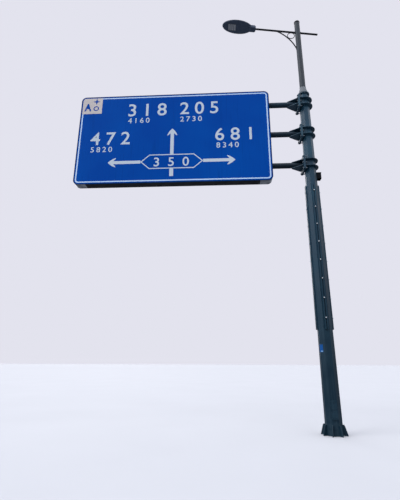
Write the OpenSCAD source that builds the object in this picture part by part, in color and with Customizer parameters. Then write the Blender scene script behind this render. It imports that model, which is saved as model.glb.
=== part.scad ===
// Cantilever sign gantry on a tapered octagonal pole, with a lamp mast on top.
// Origin: pole axis at the underside of the base flange, +Z up.
// The arms reach out to -X and the sign's face looks to -Y.

/* [Pole] */
// Height of the pole shaft above the underside of the base flange
shaft_top = 7875; // [7850:5:7885]
// Width across flats of the shaft at the base flange
shaft_w_base = 312; // [306:1:320]
// Width across flats of the shaft at its top
shaft_w_top = 219; // [214:1:222]
// Wall of the shaft
shaft_wall = 8; // [6:1:12]

/* [Base] */
// Diameter of the base flange
base_d = 516; // [512:1:540]
// Thickness of the base flange
base_t = 25; // [20:1:30]
// Diameter of the anchor bolt circle
anchor_pcd = 430; // [426:1:434]
// Diameter of an anchor hole
anchor_d = 30; // [24:1:32]
// Height of a gusset above the base flange
gusset_h = 196; // [170:2:220]
// Width of a gusset at its top, out from the corner of the shaft
gusset_top = 36; // [24:1:44]
// Reach of a gusset from the pole axis at its foot
gusset_reach = 254; // [244:1:256]
// Thickness of a gusset
gusset_t = 12; // [8:1:16]

/* [Slot rails] */
// Lower end of the slot rails
rail_low = 2025; // [1900:5:2300]
// Length of the slot rails
rail_len = 3305; // [3270:5:3340]
// Width of a slot rail
rail_w = 70; // [64:1:80]
// Depth of a slot rail, out from the flat it lies on
rail_d = 33; // [30:1:38]
// Width of the slot in a rail
rail_slot = 18; // [14:1:22]
// First bolt above the lower end of its rail
rail_bolt_first = 235; // [200:5:260]
// Distance between two rail bolts
rail_pitch = 415; // [400:1:420]

/* [Side box] */
// Lower edge of the equipment box beside the pole
box_low = 5500; // [5400:5:5540]
// Height of the equipment box
box_h = 151; // [140:1:200]

/* [Arms] */
// Height of the upper arm
arm_z_upper = 7615; // [7605:1:7625]
// Height of the middle arm
arm_z_middle = 6755; // [6740:5:6770]
// Height of the lower arm
arm_z_lower = 5890; // [5880:5:5905]
// Outer diameter of an arm tube
arm_d = 133; // [129:1:137]
// Wall of an arm tube
arm_wall = 6; // [4:1:8]
// Far end of the arm tubes, measured out from the pole axis
arm_end = 5550; // [5450:10:5580]

/* [Brackets] */
// Where the pole bracket and the arm end plate meet, from the pole axis
joint_x = 160; // [158:1:170]
// Thickness of each end plate
plate_t = 22; // [16:1:25]
// Width and height of an end plate
plate_w = 364; // [358:2:370]
// Corner cut of an end plate
plate_cut = 14; // [8:1:18]
// Distance between two end plate bolts, up and down
bolt_pitch = 152; // [144:1:154]
// Distance of a bolt from the side edge of its plate
bolt_edge = 28; // [26:1:32]
// Radius of the ring plates round the pole
ring_r = 194; // [186:1:198]
// Height of the ring plates above and below the arm axis
ring_dz = 88; // [84:1:92]
// Thickness of ring plates and wing plates
ring_t = 12; // [10:1:14]
// Reach of the tapering wing plates from the pole axis
wing_end = 430; // [404:2:454]

/* [Sign] */
// Width of the sign face
sign_w = 4800; // [4740:10:4830]
// Height of the sign face
sign_h = 2500; // [2480:5:2515]
// Edge of the sign face next to the pole, from the pole axis
sign_x = 901; // [885:1:930]
// Lower edge of the sign face
sign_z = 5448; // [5432:1:5466]
// Front of the sign face, from the pole axis
sign_y = 142; // [138:1:146]
// Radius of the corners of the face
corner_r = 120; // [110:2:130]
// Depth of the edge frame behind the face
frame_d = 225; // [210:1:240]
// Width of the folds of the edge frame
frame_h = 60; // [50:1:66]
// Length of a corner piece along each edge
corner_len = 300; // [240:5:330]

/* [Lamp mast] */
// Diameter of the flanges between pole and mast
top_flange_d = 292; // [288:1:300]
// Thickness of each of the two flanges
flange_t = 15; // [12:1:18]
// Diameter of the reducer cone at its foot
cone_d = 240; // [230:1:242]
// Height of the reducer cone
cone_h = 216; // [200:1:230]
// Top of the round lamp mast
mast_top = 10275; // [10200:5:10350]
// Diameter of the mast at its foot
mast_d_low = 147; // [144:1:150]
// Diameter of the mast at its top
mast_d_top = 138; // [134:1:142]

/* [Lamp] */
// Height of the lamp arm on the pole axis
lamp_z = 9920; // [9900:2:9940]
// Rise of the lamp arm in degrees
lamp_tilt = 10; // [9:0.5:11]
// Diameter of the lamp arm and its stub
lamp_arm_d = 48; // [46:1:50]
// Free length of the stub behind the mast
stub_len = 446; // [420:1:470]
// Diameter of the brace rod
brace_d = 30; // [24:1:32]
// Half length of the oval lamp head
head_a = 412; // [400:1:422]
// Half width of the oval lamp head
head_b = 220; // [212:1:226]
// Middle of the lamp head, along the arm from the pole axis
head_at = 1652; // [1635:1:1670]

/* [Hidden] */
steel = [0.24, 0.31, 0.37];
dark = [0.14, 0.17, 0.22];
zinc = [0.72, 0.73, 0.74];
blue = [0.0, 0.28, 0.62];
grey = [0.5, 0.53, 0.55];
$fn = 64;
// Corner radius of an octagon, as a share of its half width across flats
oct = 1 / cos(22.5);
shaft_len = shaft_top - base_t;
lean = atan((shaft_w_base - shaft_w_top) / 2 / shaft_len);
arm_zs = [arm_z_upper, arm_z_middle, arm_z_lower];
cone_low = shaft_top + 2 * flange_t;
mast_low = cone_low + cone_h;
top_bolt_r = top_flange_d / 2 - 12;
sheet_t = 3;
face_back = sign_y - sheet_t;
frame_t = 4;
frame_gap = 4;
strap_w = 50;
strap_t = 5;
back_rail_count = 8;
back_rail_w = 60;
back_rail_d = face_back - arm_d / 2 - strap_t - 4;
back_rail_first = 200;
back_rail_step = (sign_w - 2 * back_rail_first) / (back_rail_count - 1);
collar_end = 82;
lamp_arm_len = head_at - head_a - 30;
brace_r = 1183;
brace_x = -1184;
brace_z = lamp_z - 913;
scroll_x = -184;
scroll_z = lamp_z - 87;

// Width across flats of the shaft at a height
function shaft_w(z) = shaft_w_base - (shaft_w_base - shaft_w_top) * (z - base_t) / shaft_len;

// Tapered octagonal solid between two heights, grown outwards, flats square to X and Y
module shaft_solid(z0, z1, grow) {
  r0 = (shaft_w(z0) / 2 + grow) * oct;
  r1 = (shaft_w(z1) / 2 + grow) * oct;
  translate([0, 0, z0]) rotate(22.5) cylinder(h = z1 - z0, r1 = r0, r2 = r1, $fn = 8);
}

// Frame of one flat: X along it, Y into the shaft, Z up along it
module on_flat(turn, z) {
  rotate(turn) translate([0, -shaft_w(z) / 2, z]) rotate([-lean, 0, 0]) children();
}

// Rectangle from its lower left corner, with round corners
module rounded(w, h, r) {
  for (x = [r, w - r], y = [r, h - r]) translate([x, y]) circle(r = r);
  translate([r, 0]) square([w - 2 * r, h]);
  translate([0, r]) square([w, h - 2 * r]);
}

// Hexagon head on a washer, with its shank running down from the origin
module bolt(head_w, head_h, washer_d, washer_t, shank_d, shank_l) {
  cylinder(h = washer_t, d = washer_d, $fn = 32);
  translate([0, 0, washer_t - 0.01]) cylinder(h = head_h, d = head_w / cos(30), $fn = 6);
  if (shank_l > 0) {
    translate([0, 0, -shank_l]) cylinder(h = shank_l + 0.01, d = shank_d, $fn = 32);
  }
}

// Base: round flange drilled between the gussets
module base_flange() {
  color(steel) difference() {
    cylinder(h = base_t, d = base_d, $fn = 96);
    for (a = [0 : 45 : 315])
      rotate(a) translate([anchor_pcd / 2, 0, -1]) cylinder(h = base_t + 2, d = anchor_d, $fn = 48);
  }
}

// Side view of a gusset: relieved at the root weld, blunt at toe and top
module gusset_outline() {
  foot_r = shaft_w(base_t) / 2 * oct;
  top_r = shaft_w(base_t + gusset_h) / 2 * oct;
  difference() {
    polygon([
      [foot_r - 14, 0], [gusset_reach, 0], [gusset_reach, 14],
      [top_r + gusset_top, gusset_h - 16], [top_r + gusset_top - 12, gusset_h], [top_r - 14, gusset_h]]);
    translate([foot_r, 0]) circle(r = 14, $fn = 32);
  }
}

module base_gussets() {
  color(steel) difference() {
    for (a = [22.5 : 45 : 337.5])
      rotate(a) translate([0, gusset_t / 2, base_t]) rotate([90, 0, 0])
        linear_extrude(gusset_t) gusset_outline();
    shaft_solid(base_t - 1, base_t + gusset_h + 1, 0);
  }
}

// Shaft: tapered tube with the hand hole behind the access cover
module pole_shaft() {
  color(steel) difference() {
    shaft_solid(base_t, shaft_top, 0);
    shaft_solid(base_t - 1, shaft_top + 1, -shaft_wall);
    on_flat(0, 325) translate([-40, 30, 10]) rotate([90, 0, 0]) linear_extrude(60) rounded(80, 290, 30);
  }
}

// Two raised doors on a backing plate, the lower one with its pull slot, the upper one with its lock slot
module access_cover() {
  color(steel) on_flat(0, 315) rotate([90, 0, 0]) difference() {
    union() {
      translate([-62, 0, 0]) linear_extrude(5) rounded(124, 350, 10);
      translate([-60, 5, 4.9]) linear_extrude(6.1) rounded(120, 158, 14);
      translate([-54, 178, 4.9]) linear_extrude(6.1) rounded(108, 166, 14);
    }
    translate([-34, 18, 6]) linear_extrude(6) rounded(68, 20, 9.9);
    translate([-4, 300, 6]) cube([8, 20, 6]);
  }
}

// Slot rail: channel with two lips, so that a bolt head slides inside it
module slot_rail_outline() {
  difference() {
    translate([-rail_w / 2, -rail_d]) square([rail_w, rail_d]);
    translate([-rail_w / 2 + 4, -rail_d + 5]) square([rail_w - 8, rail_d - 9]);
    translate([-rail_slot / 2, -rail_d - 1]) square([rail_slot, rail_d / 2]);
  }
}
module slot_rail(turn) {
  color(steel) on_flat(turn, rail_low) linear_extrude(rail_len) slot_rail_outline();
}
module slot_rail_front() { slot_rail(0); }
module slot_rail_right() { slot_rail(90); }
module slot_rail_back() { slot_rail(180); }
module slot_rail_left() { slot_rail(270); }

module rail_bolts() {
  color(zinc) for (turn = [0 : 90 : 270], i = [0 : 7])
    on_flat(turn, rail_low) translate([0, -rail_d, rail_bolt_first + i * rail_pitch])
      rotate([90, 0, 0]) bolt(24, 12, 36, 4, 12, 20);
}

// Small equipment box on the right hand flat, open below, under an overhanging lid
module side_box() {
  x0 = shaft_w(box_low) / 2;
  color(dark) difference() {
    translate([x0 - 3, -60, box_low]) cube([106, 120, box_h]);
    shaft_solid(box_low - 50, box_low + 250, 0);
    translate([x0 + 4, -57, box_low - 10]) cube([96, 114, box_h + 7]);
  }
}
module side_box_lid() {
  x0 = shaft_w(box_low + box_h) / 2;
  color(dark) difference() {
    translate([x0 - 3, -66, box_low + box_h]) cube([113, 132, 10]);
    shaft_solid(box_low + 100, box_low + 250, 0);
  }
}

// Square plate with cut corners, seen along X and centred on the arm axis
module end_plate_outline() {
  half = plate_w / 2;
  cut = half - plate_cut;
  difference() {
    polygon([
      [half, cut], [cut, half], [-cut, half], [-half, cut],
      [-half, -cut], [-cut, -half], [cut, -half], [half, -cut]]);
    for (s = [-1, 1], k = [-1 : 1])
      translate([s * (half - bolt_edge), k * bolt_pitch]) circle(d = 26, $fn = 32);
  }
}
module end_plate(z, side) {
  translate([-joint_x + side * plate_t, 0, z]) rotate([90, 0, 90])
    linear_extrude(plate_t) end_plate_outline();
}

// Ring plate round the pole that widens straight into the end plate
module ring_plate(z) {
  start = -joint_x + plate_t;
  translate([0, 0, z - ring_t / 2]) linear_extrude(ring_t) {
    intersection() {
      circle(r = ring_r, $fn = 96);
      translate([start, -ring_r]) square([2 * ring_r, 2 * ring_r]);
    }
    translate([start, -plate_w / 2]) square([-start, plate_w]);
  }
}

// Upright stiffener between the two ring plates, behind each row of bolts
module ring_stiffener(z, s) {
  start = -joint_x + plate_t;
  translate([start, s * 118 - 5, z - ring_dz]) cube([-start - 20, 10, 2 * ring_dz]);
}
module pole_bracket(z) {
  color(steel) difference() {
    union() {
      ring_plate(z - ring_dz);
      ring_plate(z + ring_dz);
      for (s = [-1, 1]) ring_stiffener(z, s);
      end_plate(z, 0);
    }
    shaft_solid(z - 250, min(z + 250, shaft_top), 0);
  }
}
module pole_bracket_upper() { pole_bracket(arm_z_upper); }
module pole_bracket_middle() { pole_bracket(arm_z_middle); }
module pole_bracket_lower() { pole_bracket(arm_z_lower); }

// Arm tubes, closed at the far end by caps
module arm_tube(z) {
  color(steel) translate([-joint_x - plate_t, 0, z]) rotate([0, -90, 0]) difference() {
    cylinder(h = arm_end - joint_x - plate_t, d = arm_d);
    translate([0, 0, -1]) cylinder(h = arm_end, d = arm_d - 2 * arm_wall);
  }
}
module arm_upper() { arm_tube(arm_z_upper); }
module arm_middle() { arm_tube(arm_z_middle); }
module arm_lower() { arm_tube(arm_z_lower); }
module arm_end_caps() {
  color(steel) for (z = arm_zs)
    translate([-arm_end, 0, z]) rotate([0, -90, 0]) cylinder(h = 6, d = arm_d + 2);
}

// Wing plate lying on the arm and tapering out from the end plate
module wing_plate(z) {
  root = -joint_x - plate_t + 0.01;
  half = plate_w / 2;
  translate([0, 0, z - ring_t / 2]) linear_extrude(ring_t) polygon([
    [root, -half + plate_cut], [root, half - plate_cut], [root - 20, half - plate_cut],
    [-wing_end, 26], [-wing_end, -26], [root - 20, -half + plate_cut]]);
}
module arm_end_plate(z) {
  color(steel) {
    end_plate(z, -1);
    for (s = [-1, 1]) wing_plate(z + s * (arm_d + ring_t) / 2);
  }
}
module arm_end_plate_upper() { arm_end_plate(arm_z_upper); }
module arm_end_plate_middle() { arm_end_plate(arm_z_middle); }
module arm_end_plate_lower() { arm_end_plate(arm_z_lower); }

// Six bolts through each pair of end plates: heads on the arm side, nuts on the pole side
module bracket_bolts() {
  color(zinc) for (z = arm_zs, s = [-1, 1], k = [-1 : 1])
    translate([0, s * (plate_w / 2 - bolt_edge), z + k * bolt_pitch]) {
      translate([-joint_x - plate_t, 0, 0]) rotate([0, -90, 0]) bolt(34, 14, 44, 4, 24, 0);
      translate([-joint_x - plate_t - 1, 0, 0]) rotate([0, 90, 0])
        cylinder(h = 2 * plate_t + 46, d = 24, $fn = 32);
      translate([-joint_x + plate_t, 0, 0]) rotate([0, 90, 0]) bolt(34, 20, 44, 4, 24, 0);
    }
}

// Joint between pole and lamp mast
module flange_ring() {
  difference() {
    cylinder(h = flange_t, d = top_flange_d, $fn = 96);
    translate([0, 0, -1]) cylinder(h = flange_t + 2, d = 130, $fn = 48);
    for (a = [0 : 45 : 315])
      rotate(a) translate([top_bolt_r, 0, -1]) cylinder(h = flange_t + 2, d = 14, $fn = 24);
  }
}
module pole_top_flange() {
  color(steel) translate([0, 0, shaft_top]) flange_ring();
}
module reducer_flange() {
  color(grey) translate([0, 0, shaft_top + flange_t]) flange_ring();
}
module top_flange_bolts() {
  color(zinc) for (a = [0 : 45 : 315]) rotate(a) {
    translate([top_bolt_r, 0, cone_low]) bolt(18, 8, 23, 2, 12, 2 * flange_t);
    translate([top_bolt_r, 0, shaft_top]) rotate([180, 0, 0]) bolt(18, 10, 23, 2, 12, 0);
  }
}

// Tapered tube on the pole axis
module round_taper(z, h, low, top, wall) {
  translate([0, 0, z]) difference() {
    cylinder(h = h, d1 = low, d2 = top, $fn = 72);
    translate([0, 0, -0.01]) cylinder(h = h + 0.02, d1 = low - 2 * wall, d2 = top - 2 * wall, $fn = 72);
  }
}
module reducer_cone() {
  color(grey) round_taper(cone_low, cone_h, cone_d, mast_d_low, 6);
}
module lamp_mast() {
  color(grey) round_taper(mast_low, mast_top - mast_low, mast_d_low, mast_d_top, 5);
}
module mast_solid() {
  translate([0, 0, mast_low]) cylinder(h = mast_top - mast_low, d1 = mast_d_low, d2 = mast_d_top, $fn = 72);
}

// Domed cap with a skirt that overlaps the mast's edge
module mast_cap() {
  r = mast_d_top / 2;
  color(dark) translate([0, 0, mast_top]) rotate_extrude($fn = 72) polygon([
    [0, 0], [r, 0], [r + 0.3, -22], [r + 5, -22], [r + 5, 4],
    [r - 2, 12], [r - 18, 19], [r - 42, 23], [0, 25]]);
}

// Frame of the lamp arm: -X runs out along its rise
module along_lamp_arm() {
  translate([0, 0, lamp_z]) rotate([0, lamp_tilt, 0]) children();
}
// Round bar along the lamp arm between two distances from the pole axis
module lamp_line(a, b, d) {
  along_lamp_arm() translate([a, 0, 0]) rotate([0, 90, 0]) cylinder(h = b - a, d = d, $fn = 48);
}
module lamp_arm() {
  color(steel) difference() {
    union() {
      lamp_line(-lamp_arm_len, -20, lamp_arm_d);
      lamp_line(-collar_end, -20, lamp_arm_d + 12);
    }
    lamp_line(-lamp_arm_len - 1, -19, lamp_arm_d - 8);
    mast_solid();
  }
}
module lamp_stub() {
  color(steel) difference() {
    union() {
      lamp_line(20, collar_end + stub_len, lamp_arm_d);
      lamp_line(20, collar_end, lamp_arm_d + 12);
    }
    lamp_line(19, collar_end + stub_len - 4, lamp_arm_d - 8);
    mast_solid();
  }
}

// Bent rod from the arm down to the mast, bulging towards their corner
module lamp_arm_brace() {
  color(steel) difference() {
    translate([brace_x, 0, brace_z]) rotate([90, 0, 0]) rotate([0, 0, 15.5])
      rotate_extrude(angle = 43.5, $fn = 180) translate([brace_r, 0]) circle(d = brace_d, $fn = 32);
    lamp_line(-1200, 200, lamp_arm_d);
    mast_solid();
  }
}
// Round scroll in the corner, welded to arm and brace
module lamp_arm_scroll() {
  color(steel) difference() {
    translate([scroll_x, 0, scroll_z]) rotate([90, 0, 0])
      rotate_extrude($fn = 72) translate([94, 0]) circle(d = 18, $fn = 24);
    lamp_line(-1200, 200, lamp_arm_d);
    translate([brace_x, 0, brace_z]) rotate([90, 0, 0]) rotate([0, 0, 25])
      rotate_extrude(angle = 25, $fn = 180) translate([brace_r, 0]) circle(d = brace_d, $fn = 32);
  }
}

// Lamp head: thin oval slice, moved in from the rim, at a height over the arm axis
module head_slice(inset, h) {
  translate([-head_at, 0, h]) linear_extrude(1) scale([head_a - inset, head_b - inset]) circle(r = 1, $fn = 72);
}
module head_shell_form(inset, low) {
  hull() {
    head_slice(34 + inset, low);
    head_slice(10 + inset, 0);
    head_slice(inset, 19);
  }
}
module socket_outline() {
  near = head_at - head_a - 99;
  far = near + 189;
  polygon([
    [-far, -82], [-near - 36, -82], [-near, -48], [-near, 48], [-near - 36, 82], [-far, 82]]);
}
module socket_block(grow) {
  translate([0, 0, -30 - grow]) linear_extrude(70 + 2 * grow) socket_outline();
}
module lamp_body() {
  color(dark) along_lamp_arm() difference() {
    head_shell_form(0, -10);
    translate([0, 0, 4]) head_shell_form(5, -10);
    translate([-head_at - 251, -108, -12]) cube([221, 216, 9]);
    socket_block(0);
  }
}
module lamp_cover_form(inset) {
  hull() {
    head_slice(2 + inset, 20);
    head_slice(20 + inset, 36);
    head_slice(62 + inset, 48 - inset);
    head_slice(120 + inset, 55 - inset);
  }
}
// Domed cover with long cooling fins
module lamp_cover() {
  color(dark) along_lamp_arm() difference() {
    union() {
      lamp_cover_form(0);
      intersection() {
        for (y = [-120 : 30 : 120]) translate([-head_at - 260, y - 2, 30]) cube([480, 4, 50]);
        translate([0, 0, 9]) lamp_cover_form(0);
      }
    }
    translate([0, 0, -1]) lamp_cover_form(5);
    socket_block(0);
  }
}
// Glass plate with four raised lens bars across the head
module led_panel() {
  color(grey) along_lamp_arm() {
    translate([-head_at - 250.5, -107.5, -9]) cube([220, 215, 5]);
    for (i = [0 : 3])
      translate([-head_at - 244 + i * 53.5, -100, -13]) linear_extrude(5) rounded(46, 200, 10);
  }
}
module lamp_socket() {
  color(dark) along_lamp_arm() difference() {
    socket_block(0);
    translate([-head_at + 360, 0, 0]) rotate([0, 90, 0]) cylinder(h = 200, d = lamp_arm_d + 0.6, $fn = 48);
  }
}

// Sign face with round corners
module sign_face() {
  color(blue) translate([-sign_x - sign_w, -face_back, sign_z]) rotate([90, 0, 0])
    linear_extrude(sheet_t) rounded(sign_w, sign_h, corner_r);
}

// Folded edge frame along X: web below, open above, folds behind the face and at the back
module frame_bar(len) {
  rotate([90, 0, 90]) linear_extrude(len) difference() {
    square([frame_d, frame_h]);
    translate([frame_t, frame_t]) square([frame_d - 2 * frame_t, frame_h]);
  }
}
// Children drawn on the right hand or lower half, moved to the middle of the sign
module at_sign_middle(flip_x, flip_z) {
  translate([-sign_x - sign_w / 2, -face_back, sign_z + sign_h / 2])
    mirror([flip_x, 0, 0]) mirror([0, 0, flip_z]) children();
}
module frame_level(flip_z) {
  len = sign_w - 2 * corner_len;
  color(dark) at_sign_middle(0, flip_z)
    translate([-len / 2, 0, -sign_h / 2 + frame_gap]) frame_bar(len);
}
module frame_upright(flip_x) {
  len = sign_h - 2 * corner_len;
  at_sign_middle(flip_x, 0)
    translate([sign_w / 2 - frame_gap, 0, -len / 2]) rotate([0, -90, 0]) frame_bar(len);
}
module sign_frame_bottom() { frame_level(0); }
module sign_frame_top() { frame_level(1); }
module sign_frame_left() { color(dark) frame_upright(1); }
// The right hand frame lets the three arms in
module sign_frame_right() {
  color(dark) difference() {
    frame_upright(0);
    for (z = arm_zs)
      translate([-sign_x + 1, 0, z]) rotate([0, -90, 0])
        cylinder(h = frame_h + frame_gap + 3, d = arm_d + 16, $fn = 64);
  }
}

// Region inside the frame's outer edge, with its round corner centred on the origin
module corner_area(r, leg) {
  circle(r = r, $fn = 96);
  translate([-leg, -r]) square([leg, r]);
  translate([-leg, 0]) square([leg + r, leg]);
}
module corner_strip(width, leg) {
  r = corner_r - frame_gap;
  difference() {
    corner_area(r, leg);
    corner_area(r - width, leg + 1);
  }
}
module sign_corner() {
  leg = corner_len - corner_r;
  translate([0, frame_d, 0]) rotate([90, 0, 0]) {
    linear_extrude(frame_d) corner_strip(frame_t, leg);
    linear_extrude(frame_t) corner_strip(frame_h, leg);
    translate([0, 0, frame_d - frame_t]) linear_extrude(frame_t) corner_strip(frame_h, leg);
  }
}
module sign_corner_plates() {
  color(grey) for (flip_x = [0, 1], flip_z = [0, 1])
    at_sign_middle(flip_x, flip_z)
      translate([sign_w / 2 - corner_r, 0, -sign_h / 2 + corner_r]) sign_corner();
}

// Eight upright rails on the back of the face, slotted towards the arms
module sign_back_rails() {
  low = sign_z + frame_gap + frame_h + 6;
  color(zinc) for (i = [0 : back_rail_count - 1])
    translate([-sign_x - back_rail_first - i * back_rail_step, -face_back, low])
      linear_extrude(sign_h - 2 * (low - sign_z)) difference() {
        translate([-back_rail_w / 2, 0]) square([back_rail_w, back_rail_d]);
        translate([-back_rail_w / 2 + 5, 5]) square([back_rail_w - 10, back_rail_d - 10]);
        translate([-9, back_rail_d / 2]) square([18, back_rail_d]);
      }
}

// Strap round an arm, with a flat foot against the back rail
module sign_strap(z, i) {
  foot_y = -arm_d / 2 - strap_t - 4;
  translate([-sign_x - back_rail_first - i * back_rail_step, 0, z]) difference() {
    union() {
      rotate([0, 90, 0]) cylinder(h = strap_w, d = arm_d + 2 * strap_t + 0.6, center = true);
      translate([-strap_w / 2, foot_y, -arm_d / 2 - 45]) cube([strap_w, 8, arm_d + 90]);
    }
    rotate([0, 90, 0]) cylinder(h = strap_w + 2, d = arm_d + 0.6, center = true);
  }
}
module sign_straps() {
  color(zinc) for (z = arm_zs, i = [0 : back_rail_count - 1]) sign_strap(z, i);
}

base_flange();
base_gussets();
pole_shaft();
access_cover();
slot_rail_front();
slot_rail_right();
slot_rail_back();
slot_rail_left();
rail_bolts();
side_box();
side_box_lid();
pole_bracket_upper();
pole_bracket_middle();
pole_bracket_lower();
arm_end_plate_upper();
arm_end_plate_middle();
arm_end_plate_lower();
arm_upper();
arm_middle();
arm_lower();
bracket_bolts();
arm_end_caps();
pole_top_flange();
reducer_flange();
top_flange_bolts();
reducer_cone();
lamp_mast();
mast_cap();
lamp_arm();
lamp_stub();
lamp_arm_brace();
lamp_arm_scroll();
lamp_body();
lamp_cover();
led_panel();
lamp_socket();
sign_face();
sign_frame_bottom();
sign_frame_top();
sign_frame_left();
sign_frame_right();
sign_corner_plates();
sign_back_rails();
sign_straps();
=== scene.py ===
"""Looks of a cantilever sign gantry: an octagonal pole, three arms, a wide blue sign and a lamp.

Every length is in metres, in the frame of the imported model: origin on the pole axis at the
underside of the base flange, +Z up, the arms reach to -X and the sign faces -Y.
"""

from __future__ import annotations

import functools
import logging
import math
import random
from collections.abc import Mapping, Sequence
from dataclasses import dataclass, field
from enum import Enum

import bmesh
import bpy
from mathutils import Matrix, Vector


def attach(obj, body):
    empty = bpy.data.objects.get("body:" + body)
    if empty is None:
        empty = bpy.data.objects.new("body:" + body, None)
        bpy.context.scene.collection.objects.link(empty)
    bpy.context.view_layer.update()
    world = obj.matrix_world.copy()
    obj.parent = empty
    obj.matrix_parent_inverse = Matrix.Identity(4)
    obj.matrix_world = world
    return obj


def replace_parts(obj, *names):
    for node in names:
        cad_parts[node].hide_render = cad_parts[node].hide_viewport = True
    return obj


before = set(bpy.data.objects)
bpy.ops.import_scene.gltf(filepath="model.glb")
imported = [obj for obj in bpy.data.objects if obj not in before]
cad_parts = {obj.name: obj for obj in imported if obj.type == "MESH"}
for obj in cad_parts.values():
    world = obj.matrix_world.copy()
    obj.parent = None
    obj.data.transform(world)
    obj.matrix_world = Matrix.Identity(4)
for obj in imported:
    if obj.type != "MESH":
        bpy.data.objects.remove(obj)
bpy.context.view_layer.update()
BODY = "root"
MM = 0.001
UP = Vector((0.0, 0.0, 1.0))
HERE = Matrix.Identity(4)
# Turns a local Z that pointed up so that it looks out of a face that looks to -Y.
OUT_OF_FACE = Matrix.Rotation(math.pi / 2, 4, "X")
# Half of one side of an octagon, as an angle round its middle.
HALF_SIDE = math.pi / 8

# Sockets of the colour Mix node, which shares its names between data types.
MIX_FACTOR, MIX_A, MIX_B, MIX_RESULT = 0, 6, 7, 2

log = logging.getLogger("gantry")

Colour = tuple[float, float, float, float]
Point2 = tuple[float, float]
Tree = bpy.types.NodeTree
Socket = bpy.types.NodeSocket
Tone = str | bpy.types.NodeSocket


def linear(hex_colour: str) -> Colour:
    """Turns an sRGB hex colour into the linear values that a shader socket takes.

    Args:
        hex_colour: six hex digits with a leading hash, such as "#3a4b5e".

    Returns:
        Linear red, green, blue and an alpha of one.
    """
    values = []
    for start in (1, 3, 5):
        part = int(hex_colour[start : start + 2], 16) / 255
        values.append(part / 12.92 if part <= 0.04045 else ((part + 0.055) / 1.055) ** 2.4)
    return (values[0], values[1], values[2], 1.0)


def add_node(
    tree: Tree,
    kind: str,
    inputs: Mapping[str | int, object] | None = None,
    **settings: object,
) -> bpy.types.Node:
    """Adds one node with its settings, its constant inputs and its links.

    Args:
        tree: node tree of the material.
        kind: Blender's type name of the node.
        inputs: input name or index to a constant, or to the socket that feeds it.
        settings: attributes of the node itself, such as blend_type.

    Returns:
        The new node.
    """
    node = tree.nodes.new(kind)
    for name, value in settings.items():
        setattr(node, name, value)
    for name, value in (inputs or {}).items():
        if isinstance(value, Socket):
            tree.links.new(value, node.inputs[name])
        else:
            node.inputs[name].default_value = value
    return node


class Grain(Enum):
    """Direction along which a drawn, rained-on or extruded pattern is stretched."""

    EVEN = (1.0, 1.0, 1.0)
    ALONG_X = (0.04, 1.0, 1.0)
    ALONG_Z = (1.0, 1.0, 0.04)


class Side(Enum):
    """Side that a face looks to, with the axis of its normal."""

    # Faces that look to +X, where the coat gets painted shade below the arms.
    SUNLESS = "X"
    BACK = "Y"
    TOP = "Z"


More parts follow.
